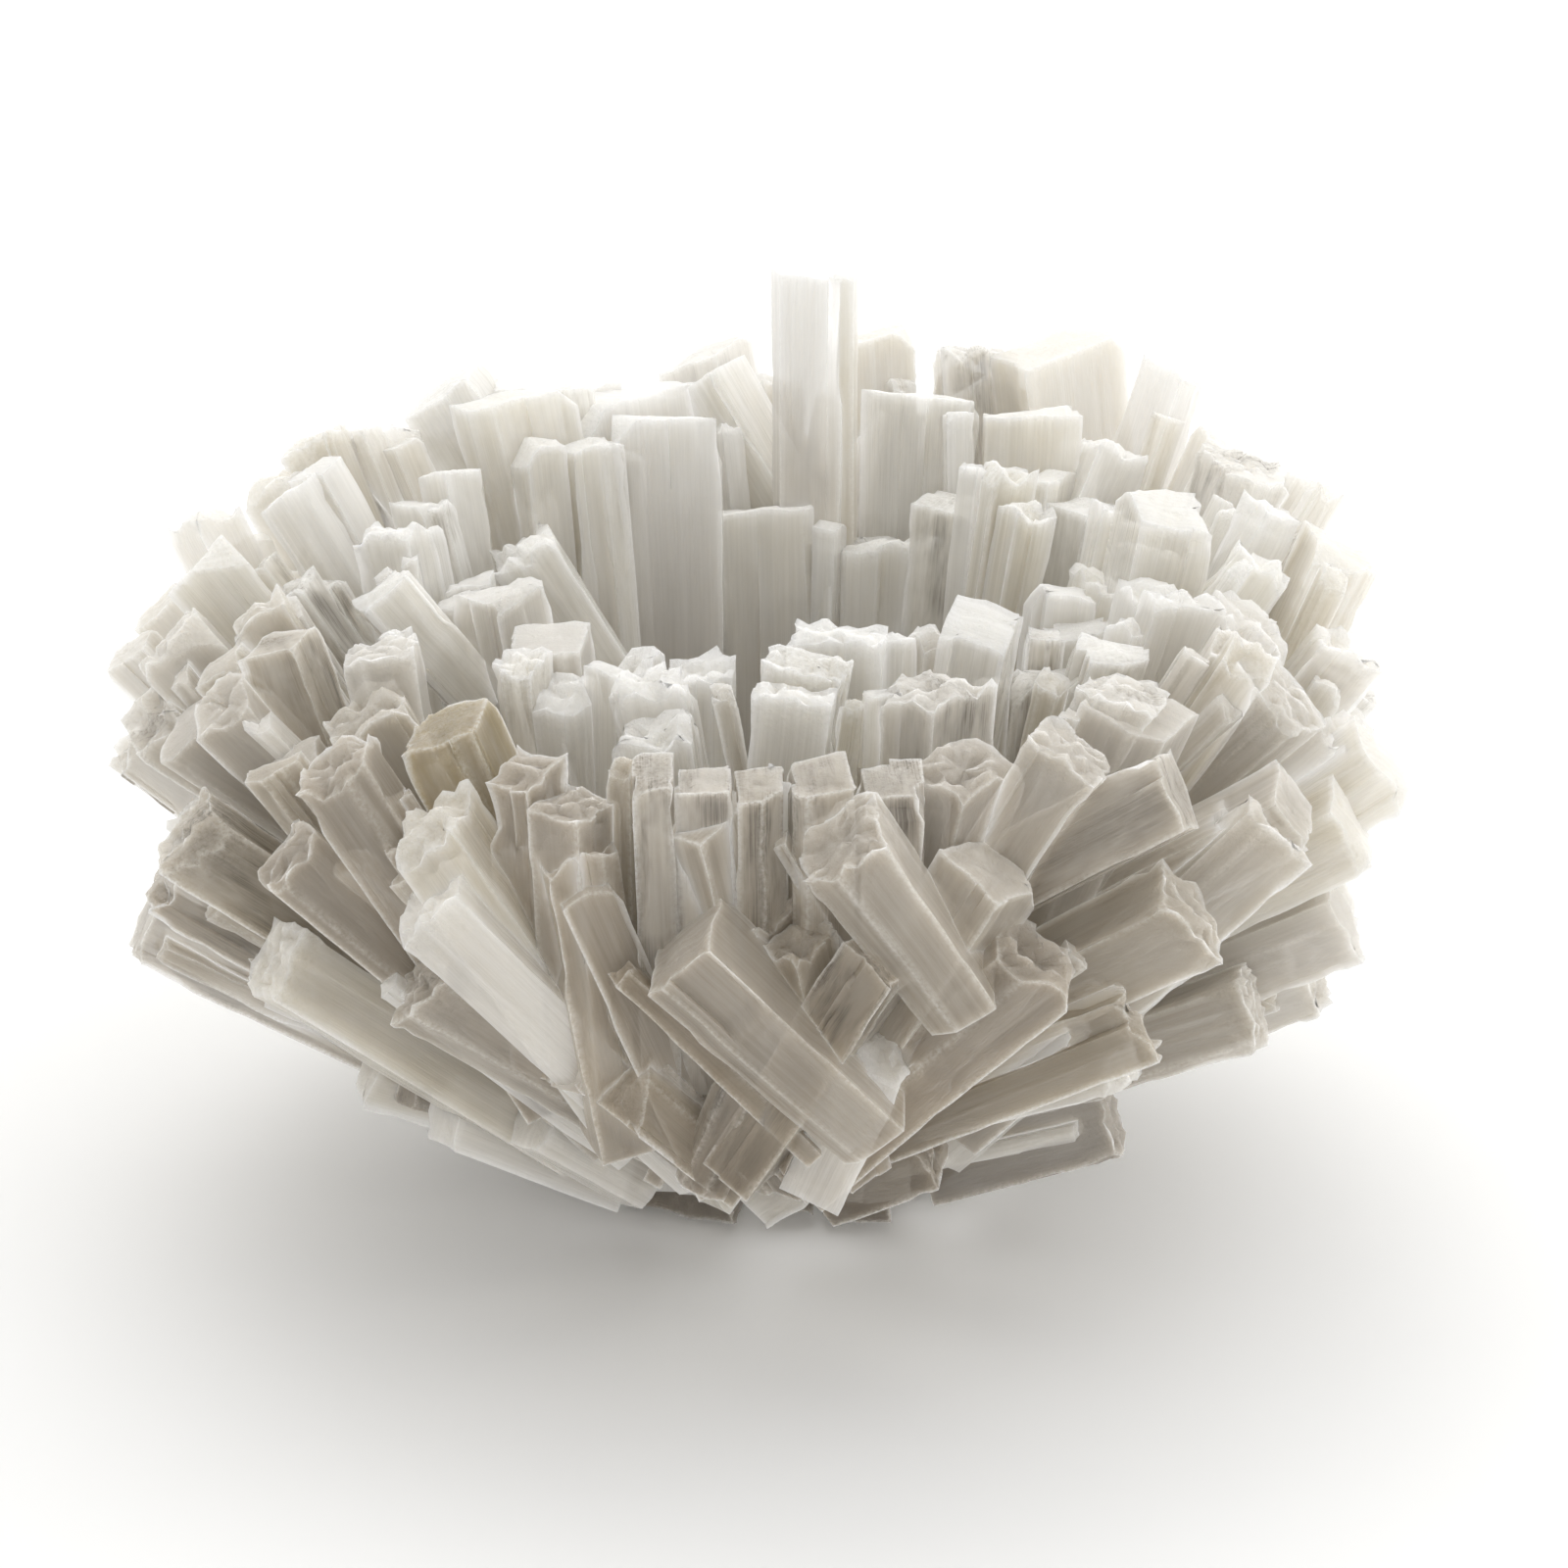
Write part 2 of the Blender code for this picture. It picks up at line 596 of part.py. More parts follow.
def fill_pockets(data):
    """Removes the walls of pockets that joined sticks shut in, so that the solid is whole inside."""
    mesh = bmesh.new()
    mesh.from_mesh(data)
    bmesh.ops.remove_doubles(mesh, verts=mesh.verts[:], dist=SAME_POINT)
    bmesh.ops.dissolve_degenerate(mesh, edges=mesh.edges[:], dist=SAME_POINT)
    largest = max(shells_of(mesh), key=lambda shell: sum(face.calc_area() for face in shell))
    inner = set(mesh.faces) - set(largest)
    bmesh.ops.delete(mesh, geom=list(inner), context="FACES")
    mesh.to_mesh(data)
    mesh.free()


def is_whole(data, least_volume):
    """Whether the mesh is closed, with two faces on every edge, and holds at least this much."""
    mesh = bmesh.new()
    mesh.from_mesh(data)
    whole = mesh.calc_volume() > least_volume and all(edge.is_manifold for edge in mesh.edges)
    mesh.free()
    return whole


def joined_mesh(body, others, solver):
    """The mesh of the body with the others joined to it."""
    for i, other in enumerate(others):
        union = body.modifiers.new(f"join_{i + 2}", "BOOLEAN")
        union.operation = "UNION"
        union.solver = solver
        union.object = other
    graph = bpy.context.evaluated_depsgraph_get()
    data = bpy.data.meshes.new_from_object(body.evaluated_get(graph))
    body.modifiers.clear()
    return data


def bundle_object(bundle, name, parts, helpers):
    """One node: the bundle's first stick, with its neighbours joined to it."""
    material = stone_material(f"{name}_stone")
    kept = [solid for solid in bundle if solid.volume() > LEAST_VOLUME]
    least = 0.99 * max(solid.volume() for solid in kept)
    body = mesh_object(kept[0], name, parts, material)
    others = [mesh_object(s, f"{name}_stick_{i + 2}", helpers, material) for i, s in enumerate(kept[1:])]
    for other in others:
        other.hide_render = True
        other.display_type = "WIRE"
    for attempt in range(JOIN_ATTEMPTS):
        nudge(others, attempt * NUDGE)
        for solver in ("EXACT", "MANIFOLD"):
            data = joined_mesh(body, others, solver)
            if data.polygons:
                fill_pockets(data)
            if is_whole(data, least):
                body.data = data
                return body
    raise RuntimeError(f"{name} doesn't join to a closed solid")


def nudge(objects, distance):
    """Moves each object by this distance, every one in a direction of its own."""
    for i, obj in enumerate(objects):
        obj.location = Vector((math.cos(i), math.sin(i), 1)).normalized() * distance


def main():
    clear_scene()
    parts = new_collection(COLLECTION_NAME)
    helpers = new_collection(HELPERS_NAME)
    solids = [
        Solid(stick, f"{ring.name} {i}") for ring in RINGS for i, stick in enumerate(sticks_of(ring))
    ]
    bundles = bundles_of(solids)
    part_sticks(bundles)
    made = dict.fromkeys((ring.name for ring in RINGS), 0)
    for bundle in itertools.chain.from_iterable(joined_runs(bundle) for bundle in bundles):
        ring = bundle[0].stick.ring
        made[ring] += 1
        bundle_object(bundle, f"{ring}_cluster_{made[ring]:02d}", parts, helpers)


main()
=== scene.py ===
"""Looks of the satin spar bowl: raw sticks of fibrous gypsum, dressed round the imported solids.

Every stick of the solids is made again from the same named sizes, as a fine mesh with cleavage steps,
chipped edges and a ragged end. The sticks of one solid are one piece, which takes that solid's place.
Sizes are in millimetres and degrees until a mesh is made, and bearings run from the front (0) to the
right (90).
"""

import copy
import logging
import math
import random
from dataclasses import dataclass, field, replace
from enum import Enum
from functools import partial
from typing import Any, Callable, Sequence

import bpy
import numpy as np
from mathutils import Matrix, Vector
from mathutils.bvhtree import BVHTree


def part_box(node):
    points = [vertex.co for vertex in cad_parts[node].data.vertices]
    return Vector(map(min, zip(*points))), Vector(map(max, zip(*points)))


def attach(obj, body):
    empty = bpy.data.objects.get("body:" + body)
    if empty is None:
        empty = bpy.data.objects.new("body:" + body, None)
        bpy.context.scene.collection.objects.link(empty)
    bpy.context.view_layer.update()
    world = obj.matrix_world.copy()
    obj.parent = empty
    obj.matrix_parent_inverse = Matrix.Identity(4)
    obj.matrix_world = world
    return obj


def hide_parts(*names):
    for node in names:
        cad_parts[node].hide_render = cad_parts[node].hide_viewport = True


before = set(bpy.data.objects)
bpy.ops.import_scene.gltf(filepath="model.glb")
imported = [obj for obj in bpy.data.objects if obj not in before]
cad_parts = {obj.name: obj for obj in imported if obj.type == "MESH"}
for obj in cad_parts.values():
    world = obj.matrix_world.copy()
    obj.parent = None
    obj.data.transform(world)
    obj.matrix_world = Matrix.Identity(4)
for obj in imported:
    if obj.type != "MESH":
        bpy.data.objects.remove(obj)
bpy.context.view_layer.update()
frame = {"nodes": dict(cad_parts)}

LOG = logging.getLogger("satin_spar_bowl")

MM = 0.001
# The rim stands this much higher at the back than at the front.
BACK_LIFT = 0.08
# At the front, a stick fans out sideways: its run keeps this share of its way towards the viewer.
FRONT_RUN = 0.15
# Bearings (degrees) between which a stick's run turns from that of the fan to straight outwards.
FAN_BEARINGS = (45, 85)
# Under the front, feet stay above a line that rises this steeply from this far in front of the axis (mm).
UNDERSIDE_SLOPE = 0.56
UNDERSIDE_START = 42
# Sticks start at the outside of the innermost ring, this far from the axis (mm).
WALL_REACH = 98
# The feet of the innermost ring come no nearer to the axis than this (mm).
FLOOR_REACH = 50
# The sticks of the foot run past the axis by this much (mm).
PAST_AXIS = 16
LONGEST_STICK = 150
# A stick gets thinner to its foot, to these shares of its depth and at least of its width.
FOOT_DEPTH = 0.85
LEAST_FOOT_WIDTH = 0.55
# Raw sticks stray from their ring's usual one: shares of its sizes, or degrees.
BEARING_SPREAD = 0.12
REACH_SPREAD = (0.93, 1.03)
HEIGHT_SPREAD = (0.95, 1.05)
FAN_SPREAD = 0.2
STEEPEST_PITCH = 86.0
PITCH_SPREAD = 4
SWING_SPREAD = 8
WIDTH_SPREAD = (0.80, 1.22)
DEPTH_SPREAD = (0.80, 1.10)
# How likely each kind of tip and each look is, against the others.
TIP_CHANCES = (5, 3, 2)
LOOK_CHANCES = (6, 3, 4, 0, 2)
# Stray of a section's corners, and the size of a corner that has split off, as shares of the section.
CORNER_STRAY = 0.10
CHAMFER_SHARE = 0.28
CHAMFER_SPREAD = (0.6, 1.4)
# How far a stick is rolled round its own length, and how its end leans (degrees).
MOST_ROLL = 22
BREAK_LEANS = (3, 13)
BREAK_DROP = 0.3
# The chip off an end's corner: stray of its direction, steepness, and where it starts.
CHIP_TURN = 0.5
CHIP_STEEPNESS = (0.6, 1.2)
CHIP_STARTS = (0.5, 0.7)


class TipKind(Enum):
    """How a stick ends, as it came off the rock."""

    SNAPPED = "snapped"
    SPLINTERED = "splintered"
    CRUSTED = "crusted"


class Look(Enum):
    """What stands out in a stick's stone."""

    MILKY = "milky"
    CLEAR = "clear"
    SILKY = "silky"
    CREAM = "cream"
    STAINED = "stained"


SNAPPED, SPLINTERED, CRUSTED = TipKind
MILKY, CLEAR, SILKY, CREAM, STAINED = Look


@dataclass(frozen=True)
class Ring:
    """One ring of sticks round the bowl, and the usual stick in it.

    Its sizes are those of the solids: reach and height of a tip, pitch of the stick, height of its
    foot, width and depth of its section, the step in bearing to the next stick, and the share by which
    the ring is nearer to the axis at the front.
    """

    name: str
    reach: float
    height: float
    pitch: float
    foot_height: float
    width: float
    depth: float
    spacing: float
    front_pull: float


@dataclass(frozen=True)
class Stick:
    """One raw stick, by its broken tip, its slope, its section and its looks."""

    ring: str
    bearing: float
    reach: float
    height: float
    pitch: float
    swing: float
    width: float
    depth: float
    tip: TipKind | None = None
    look: Look | None = None
    whole: bool = False
    most: float = LONGEST_STICK


RINGS = (
    Ring("foot", 80, 15, 5, 5, 42, 27, 36, 0.0),
    Ring("skirt", 190, 98, 30, 36, 33, 26, 12, 0.20),
    Ring("low_flank", 202, 136, 37, 52, 34, 26, 12, 0.11),
    Ring("high_flank", 202, 169, 44, 68, 34, 26, 12, 0.06),
    Ring("shoulder", 192, 194, 51, 86, 33, 26, 12, 0.03),
    Ring("rim", 164, 208, 63, 106, 34, 27, 14.4, 0.0),
    Ring("mid_rim", 130, 214, 76, 128, 36, 27, 18, 0.0),
    Ring("inner_rim", 97, 210, 82, 24, 35, 24, 22.5, 0.0),
)

# Sticks that stand out, by ring: bearing, reach, height, pitch, swing, width and depth, then kind of tip,
# look, whether it is whole, and its greatest length where it is shorter than most.
LANDMARKS = {
    "foot": (
        (-30, 66, 15, 5, 10, 44, 26),
        (14, 64, 16, 5, -10, 46, 28),
        (50, 68, 14, 5, 6, 38, 26),
    ),
    "skirt": (
        (-78, 207, 102, 32, -4, 29, 28, SNAPPED, STAINED, True),
        (-60, 150, 66, 27, -12, 26, 24),
        (-44, 149, 68, 29, -32, 26, 24),
        (-30, 146, 76, 40, -42, 28, 25),
        (-14, 146, 80, 46, -62, 22, 22, SPLINTERED, SILKY),
        (4, 132, 66, 46, 70, 30, 25),
        (20, 146, 76, 32, 56, 30, 25),
        (36, 180, 108, 23, 40, 28, 27, CRUSTED, SILKY, True),
        (47, 150, 62, 23, 29, 28, 26),
        (53, 188, 106, 24, 24, 28, 26, CRUSTED),
        (70, 184, 94, 26, 10, 27, 26),
    ),
    "low_flank": (
        (-92, 212, 148, 42, 8, 26, 26),
        (-67, 205, 136, 38, -12, 28, 27, SPLINTERED, STAINED, True),
        (-50, 200, 130, 40, -24, 29, 26, CRUSTED),
        (-33, 194, 138, 38, -44, 28, 26, CRUSTED),
        (-16, 184, 118, 46, -58, 30, 26),
        (0, 178, 116, 66, 72, 30, 26, SNAPPED, STAINED),
        (18, 182, 122, 44, 56, 30, 26),
        (34, 196, 128, 30, 42, 30, 26, SPLINTERED),
        (62, 199, 128, 30, 16, 27, 26, SNAPPED, MILKY),
        (78, 190, 134, 36, 4, 28, 26),
        (91, 190, 138, 38, -4, 30, 25),
        (103, 190, 140, 38, 4, 27, 26),
    ),
    "high_flank": (
        (-103, 209, 180, 48, 2, 22, 22),
        (-96, 212, 172, 50, 10, 22, 22),
        (-61, 207, 160, 40, -16, 29, 26, CRUSTED, STAINED),
        (-46, 203, 168, 46, -34, 28, 26),
        (-30, 201, 171, 50, -50, 28, 26, CRUSTED),
        (-8, 198, 163, 46, -72, 35, 30, SNAPPED, CLEAR, True, 84),
        (10, 192, 158, 60, 66, 30, 26, SNAPPED, STAINED),
        (24, 197, 154, 46, 56, 30, 26),
        (38, 204, 160, 34, 40, 28, 26, CRUSTED),
        (60, 203, 162, 34, 16, 27, 26),
        (83, 188, 164, 44, -6, 26, 25),
        (94, 186, 172, 46, 4, 31, 26, CRUSTED),
        (106, 192, 176, 48, -4, 28, 26),
    ),
    "shoulder": (
        (-119, 192, 211, 60, 4, 27, 25),
        (-109, 203, 204, 62, -8, 22, 22),
        (-42, 194, 199, 60, -42, 26, 25, SPLINTERED),
        (-31, 193, 191, 60, -52, 28, 25),
        (-19, 182, 186, 80, -40, 32, 27),
        (5, 194, 198, 57, -84, 31, 28, CRUSTED, CLEAR, True, 70),
        (20, 186, 178, 62, 50, 30, 26),
        (37, 196, 195, 35, 40, 29, 27, SNAPPED, STAINED, True),
        (50, 201, 179, 36, 26, 27, 25),
        (68, 202, 172, 40, 12, 28, 26, SNAPPED, SILKY),
        (84, 186, 190, 54, 4, 28, 26),
        (98, 188, 205, 66, -6, 32, 26, SNAPPED, CLEAR),
        (112, 197, 213, 58, 0, 22, 22),
        (124, 188, 216, 64, -10, 26, 24),
        (133, 192, 235, 66, -6, 24, 22),
    ),
    "rim": (
        (-141, 182, 226, 60, 34, 34, 29, SNAPPED, CLEAR, True),
        (-123, 182, 224, 66, 6, 36, 28, CRUSTED),
        (-64, 168, 210, 72, -22, 24, 24, SNAPPED, STAINED),
        (-34, 172, 209, 68, -50, 28, 25, SNAPPED, CREAM),
        (-21, 179, 207, 86, -10, 36, 28, CRUSTED),
        (-6, 173, 209, 87, 0, 48, 29, SNAPPED, STAINED),
        (8, 172, 209, 87, 0, 42, 28, SNAPPED, STAINED),
        (30, 177, 207, 60, 50, 28, 27, CRUSTED),
        (117, 180, 218, 72, -8, 30, 26),
        (147, 178, 240, 78, 60, 46, 27, SNAPPED, MILKY, True),
        (157, 176, 234, 79, 44, 30, 26),
        (169, 176, 236, 82, 34, 27, 25),
        (-172, 174, 230, 76, 50, 34, 26),
        (-150, 172, 224, 80, -6, 28, 25),
    ),
    "mid_rim": (
        (-169, 136, 230, 58, 60, 28, 24, SNAPPED, SILKY, True),
        (-155, 128, 230, 80, 26, 60, 30, SNAPPED, MILKY, True),
        (-117, 126, 222, 78, -8, 31, 26),
        (-72, 130, 214, 52, -8, 22, 22, SNAPPED, SILKY),
        (-55, 146, 214, 80, -30, 28, 25),
        (-36, 118, 213, 84, 0, 30, 26),
        (22, 127, 214, 86, 20, 34, 28, SPLINTERED, STAINED),
        (43, 155, 212, 68, 40, 32, 27),
        (113, 132, 208, 70, 20, 33, 28),
        (140, 134, 228, 80, 34, 34, 26, SNAPPED, MILKY, True),
        (174, 104, 278, 87, 0, 29, 28, SNAPPED, MILKY, True),
    ),
    "inner_rim": (
        (-112, 92, 204, 58, 14, 32, 24, SPLINTERED, SILKY),
        (-21, 88, 209, 86, 0, 40, 25, SPLINTERED),
        (12, 92, 221, 87, 0, 30, 24, CRUSTED, SILKY),
        (43, 94, 215, 80, 20, 28, 24),
        (101, 112, 197, 78, 10, 30, 24),
        (141, 98, 204, 82, 0, 26, 24, SNAPPED, STAINED),
        (155, 94, 190, 82, 0, 38, 23),
        (-178, 92, 198, 84, 0, 38, 24, SNAPPED, MILKY),
    ),
}

FOOT_HEIGHTS = {ring.name: ring.foot_height for ring in RINGS}

# Half the width of the step between two strips of a stick's side (mm), and how far it stays from a corner.
CUT_WIDTH = 0.15
LEAST_TO_CORNER = 1.5
# What has come off a strip: a ledge along its side, and a splinter at its tip (mm).
STRIP_COUNTS = (3, 5)
LEDGES = (0.0, 0.0, 0.3, 0.5, 0.8, 1.3)
LEDGE_ENDS = (0.35, 1.3)
SPLINTERS = (0.0, 0.0, 0.0, 0.0, 1.2, 2.2)
SPLINTER_ENDS = (6, 42)
LOSS_SPREAD = (0.7, 1.2)
# Wear leaves at least this share of the way from a stick's middle to its side.
LEAST_LEFT = 0.6
# Knocks round off an edge over about this distance (mm).
EDGE_WEAR = 2.2
# A raw stick bends by up to half of this over this length (mm).
BEND = 1.6
BEND_LENGTH = 60
# Faces that meet at a greater angle than this (degrees) have a hard edge.
HARD_EDGE = 32
# Rings of points on a broken end, as shares of the section, and how rows crowd towards the tip.
END_SHARES = (0.96, 0.82, 0.64, 0.44, 0.22)
ROW_CROWDING = 1.5
# A stick wider than this per lath splits once more, apart from half of the sticks.
USUAL_LATH = 19.0
UNSPLIT_SHARE = 0.5
# The laths of a stick still hold together by this much (mm), stray this much from even widths, are
# thinner than the stick by these shares, and end this much lower.
LATH_BOND = 0.3
LATH_STRAY = 3.5
LATH_DEPTHS = (0.80, 1.0)
LATH_DROPS = (1.0, 10.0)
# How cream, clear, silky and stained a stick is that doesn't stand out for it, and the clearest.
USUAL_CREAM = (0.0, 0.0, 0.0, 0.12, 0.25)
USUAL_STAIN = (0.0, 0.0, 0.0, 0.0, 0.4)
USUAL_MOST = 0.5
CLEAREST = 0.9
# A stain's streak: how far aside and how wide it is (shares of the width), how far down it goes (mm), and
# what there is of the stain beside it.
STREAK_ASIDE = 0.25
STREAK_WIDTH = 0.3
STREAK_LENGTHS = (40, 110)
OFF_STREAK = 0.25
# Painted shade between the sticks grows down each stick until this far below its end (mm).
PAINTED_SHADE_DEPTH = 110.0
# Sizes of the grains that show on a broken end (mm).
END_GRAIN = 1.9
# Distances below the tip (mm) at which a stick is looked for in the solids.
PROBE_DEPTHS = (6, 10, 15, 22, 30, 40)


@dataclass(frozen=True)
class Break:
    """How one kind of end is broken, in millimetres.

    It has the lumps' sizes across the width and the depth, what is missing at most, how many terraces
    there are (none where it is lumps), how soft their steps are and how steep, the height of the grains,
    and how far the broken look reaches down the sides.
    """

    across: float
    deep: float
    missing: float
    terraces: int
    softness: float
    power: float
    grain: float
    reach: float


BREAKS = {
    SNAPPED: Break(9.0, 7.0, 1.8, 3, 0.25, 1.0, 0.5, 2.5),
    SPLINTERED: Break(6.5, 4.2, 8.0, 4, 0.3, 1.4, 1.0, 5.0),
    CRUSTED: Break(4.8, 4.8, 3.4, 0, 0.0, 1.0, 1.6, 16.0),
}


def lattice_noise(x: np.ndarray, y: np.ndarray, z: np.ndarray, seed: int) -> np.ndarray:
    """Smooth noise that is one random value at each whole-number point of space.

    Args:
        x: First coordinate, in cells of the noise.
        y: Second coordinate.
        z: Third coordinate.
        seed: Tells one noise from another.

    Returns:
        Values from 0 to 1, in the shape of the coordinates.
    """
    x, y, z = np.broadcast_arrays(x, y, z)
    cells = [np.floor(v).astype(np.int64) for v in (x, y, z)]
    parts = [v - c for v, c in zip((x, y, z), cells)]
    blends = [p * p * (3 - 2 * p) for p in parts]
    total = np.zeros(x.shape)
    for corner in range(8):
        steps = [corner & 1, corner >> 1 & 1, corner >> 2 & 1]
        mixed = (cells[0] + steps[0]) * 374761393 + (cells[1] + steps[1]) * 668265263
        mixed = mixed + (cells[2] + steps[2]) * 2147483647 + seed * 69069
        mixed = (mixed ^ (mixed >> 13)) * 1274126177
        value = ((mixed ^ (mixed >> 16)) & 0xFFFF) / 65535.0
        weight = np.ones(x.shape)
        for step, blend in zip(steps, blends):
            weight = weight * (blend if step else 1 - blend)
        total = total + weight * value
    return total


def stepped(values: np.ndarray, count: int, softness: float) -> np.ndarray:
    """Turns a smooth 0 to 1 field into flat terraces with short slopes between them.

    Args:
        values: The smooth field.
        count: How many terraces there are.
        softness: Share of each terrace that slopes.

    Returns:
        The terraced field, from 0 to 1.
    """
    raised = values * count
    level = np.floor(raised)
    slope = np.clip((raised - level - 1 + softness) / softness, 0, 1)
    return (level + slope) / count


def in_order(
    x: np.ndarray, y: np.ndarray, middle: tuple[float, float], least: np.ndarray
) -> tuple[np.ndarray, np.ndarray]:
    """Moves points that wear has pushed past each other, so that they go round the middle in one sense.

    Args:
        x: Places across, in order round the section.
        y: Places across.
        middle: The section's middle.
        least: How near to the middle each point may come.

    Returns:
        The places, moved as little as needed.
    """
    away = np.maximum(np.hypot(x - middle[0], y - middle[1]), least)
    turn = np.unwrap(np.arctan2(y - middle[1], x - middle[0]))
    ahead = np.maximum.accumulate(turn)
    behind = np.minimum.accumulate(turn[::-1])[::-1]
    turn = (ahead + behind) / 2
    return middle[0] + away * np.cos(turn), middle[1] + away * np.sin(turn)


def fan_uv(x: np.ndarray, y: np.ndarray, near: np.ndarray, far: np.ndarray) -> np.ndarray:
    """Pattern coordinates of a fan of triangles from the middle of a section.

    Args:
        x: Places round the section.
        y: Places round the section.
        near: Which of them is each triangle's second corner.
        far: Which of them is each triangle's third corner.

    Returns:
        Two numbers for each corner of each triangle.
    """
    middle = np.zeros(len(near))
    u = np.stack([middle, x[near], x[far]], -1)
    v = np.stack([middle, y[near], y[far]], -1)
    return np.stack([u, v], -1).reshape(-1, 2)


def band(
    corners: Sequence[tuple[float, float]], low: float, high: float
) -> list[tuple[float, float]]:
    """The part of a convex section between two lines square to its width.

    Args:
        corners: The section's corners in order.
        low: Place of the first line.
        high: Place of the second line.

    Returns:
        The part's corners in order.
    """
    kept = list(corners)
    for limit, sign in ((low, 1), (high, -1)):
        found = []
        for (x, y), (next_x, next_y) in zip(kept, kept[1:] + kept[:1]):
            is_in = sign * (x - limit) >= 0
            if is_in:
                found.append((x, y))
            if is_in != (sign * (next_x - limit) >= 0):
                found.append((limit, y + (next_y - y) * (limit - x) / (next_x - x)))
        kept = found
    return kept


@dataclass(frozen=True)
class Section:
    """A stick's section as points round it, in millimetres, cut in strips that split off unevenly."""

    x: np.ndarray
    y: np.ndarray
    out_x: np.ndarray
    out_y: np.ndarray
    corner: np.ndarray
    strip: np.ndarray
    run: np.ndarray

    @classmethod
    def from_corners(
        cls, corners: Sequence[tuple[float, float]], step: float, cuts: Sequence[float]
    ) -> "Section":
        """Walks round the corners, with a point about every step and two close ones at every cut.

        Args:
            corners: The section's corners in order.
            step: Distance between points, in millimetres.
            cuts: Where one strip ends and the next begins, as shares of the way round, in order.

        Returns:
            The section.
        """
        count = len(corners)
        ends = np.array([*corners, corners[0]])
        lengths = np.linalg.norm(np.diff(ends, axis=0), axis=1)
        starts = np.concatenate([[0], np.cumsum(lengths)])
        round_all = starts[-1]
        stops = set()
        for i in range(count):
            pieces = max(2, round(lengths[i] / step))
            stops.update(round(starts[i] + lengths[i] * k / pieces, 4) for k in range(pieces))
        for cut in cuts:
            place = round(cut * round_all, 4)
            if np.abs(starts - place).min() < LEAST_TO_CORNER:
                continue
            stops = {stop for stop in stops if abs(stop - place) > step * 0.4 or stop in starts.round(4)}
            stops.update((place - CUT_WIDTH, place + CUT_WIDTH))
        run = np.array(sorted(stops))
        x = np.interp(run, starts, ends[:, 0])
        y = np.interp(run, starts, ends[:, 1])
        side = np.clip(np.searchsorted(starts, run + 1e-6, side="right") - 1, 0, count - 1)
        outs = np.stack([np.diff(ends[:, 1]), -np.diff(ends[:, 0])], 1) / lengths[:, None]
        out = outs[side]
        from_start = run - starts[side]
        at_corner = from_start < 1e-3
        out[at_corner] += outs[(side[at_corner] - 1) % count]
        out /= np.linalg.norm(out, axis=1)[:, None]
        near = np.minimum(from_start, lengths[side] - from_start)
        strip = np.searchsorted(np.array(cuts) * round_all, run) % max(1, len(cuts))
        return cls(x, y, out[:, 0], out[:, 1], np.exp(-near / EDGE_WEAR), strip, np.append(run, round_all))


@dataclass(frozen=True)
class Wear:
    """What raw satin spar has lost from its sides, in millimetres.

    Ridges and swells run along the stick, chips sit on its corners, the more so at its tip, and a crust
    of lumps covers the upper end of some sticks.
    """

    ridge: float = 0.25
    ridge_size: tuple[float, float] = (3.2, 160)
    swell: float = 0.4
    swell_size: tuple[float, float] = (12, 60)
    chip: float = 2.0
    chip_at_tip: float = 6.0
    chip_size: float = 6
    chip_rarity: float = 0.55
    tip_reach: float = 14
    ledge_slope: float = 5
    splinter_slope: float = 1.6
    crust_reach: float = 20
    lump_size: float = 4.2
    lump_depth: float = 3.6
    crust_height: float = 2.2
    hidden_share: float = 0.6

    def of_sides(self, section: Section, s: np.ndarray, seed: int) -> np.ndarray:
        """The loss by ridges, swells and chips.

        Args:
            section: The stick's section.
            s: Place along the stick at each point of the row, in millimetres from the tip.
            seed: Tells one stick's wear from another's.

        Returns:
            The loss at each point.
        """
        x, y = section.x, section.y
        across, along = self.ridge_size
        loss = self.ridge * lattice_noise(x / across, y / across, s / along, seed + 2)
        across, along = self.swell_size
        loss += self.swell * lattice_noise(x / across, y / across, s / along, seed + 3)
        size = self.chip_size
        chips = np.clip(lattice_noise(x / size, y / size, s / size, seed + 4) - self.chip_rarity, 0, 1)
        return loss + chips * section.corner * (self.chip + self.chip_at_tip * np.exp(s / self.tip_reach))

    def under_crust(self, section: Section, s: np.ndarray, seed: int, loss: np.ndarray) -> np.ndarray:
        """The loss where lumps of crust cover part of it.

        Args:
            section: The stick's section.
            s: Place along the stick at each point of the row, in millimetres from the tip.
            seed: Tells one stick's crust from another's.
            loss: The loss without the crust.

        Returns:
            The loss at each point, below zero where the crust stands out.
        """
        crust = np.clip(1 + s / self.crust_reach, 0, 1)
        size = self.lump_size
        lumps = lattice_noise(section.x / size, section.y / size, s / size, seed + 5)
        covered = loss * (1 - self.hidden_share * crust)
        return covered + crust * (self.lump_depth * lumps - self.crust_height)


WEAR = Wear()


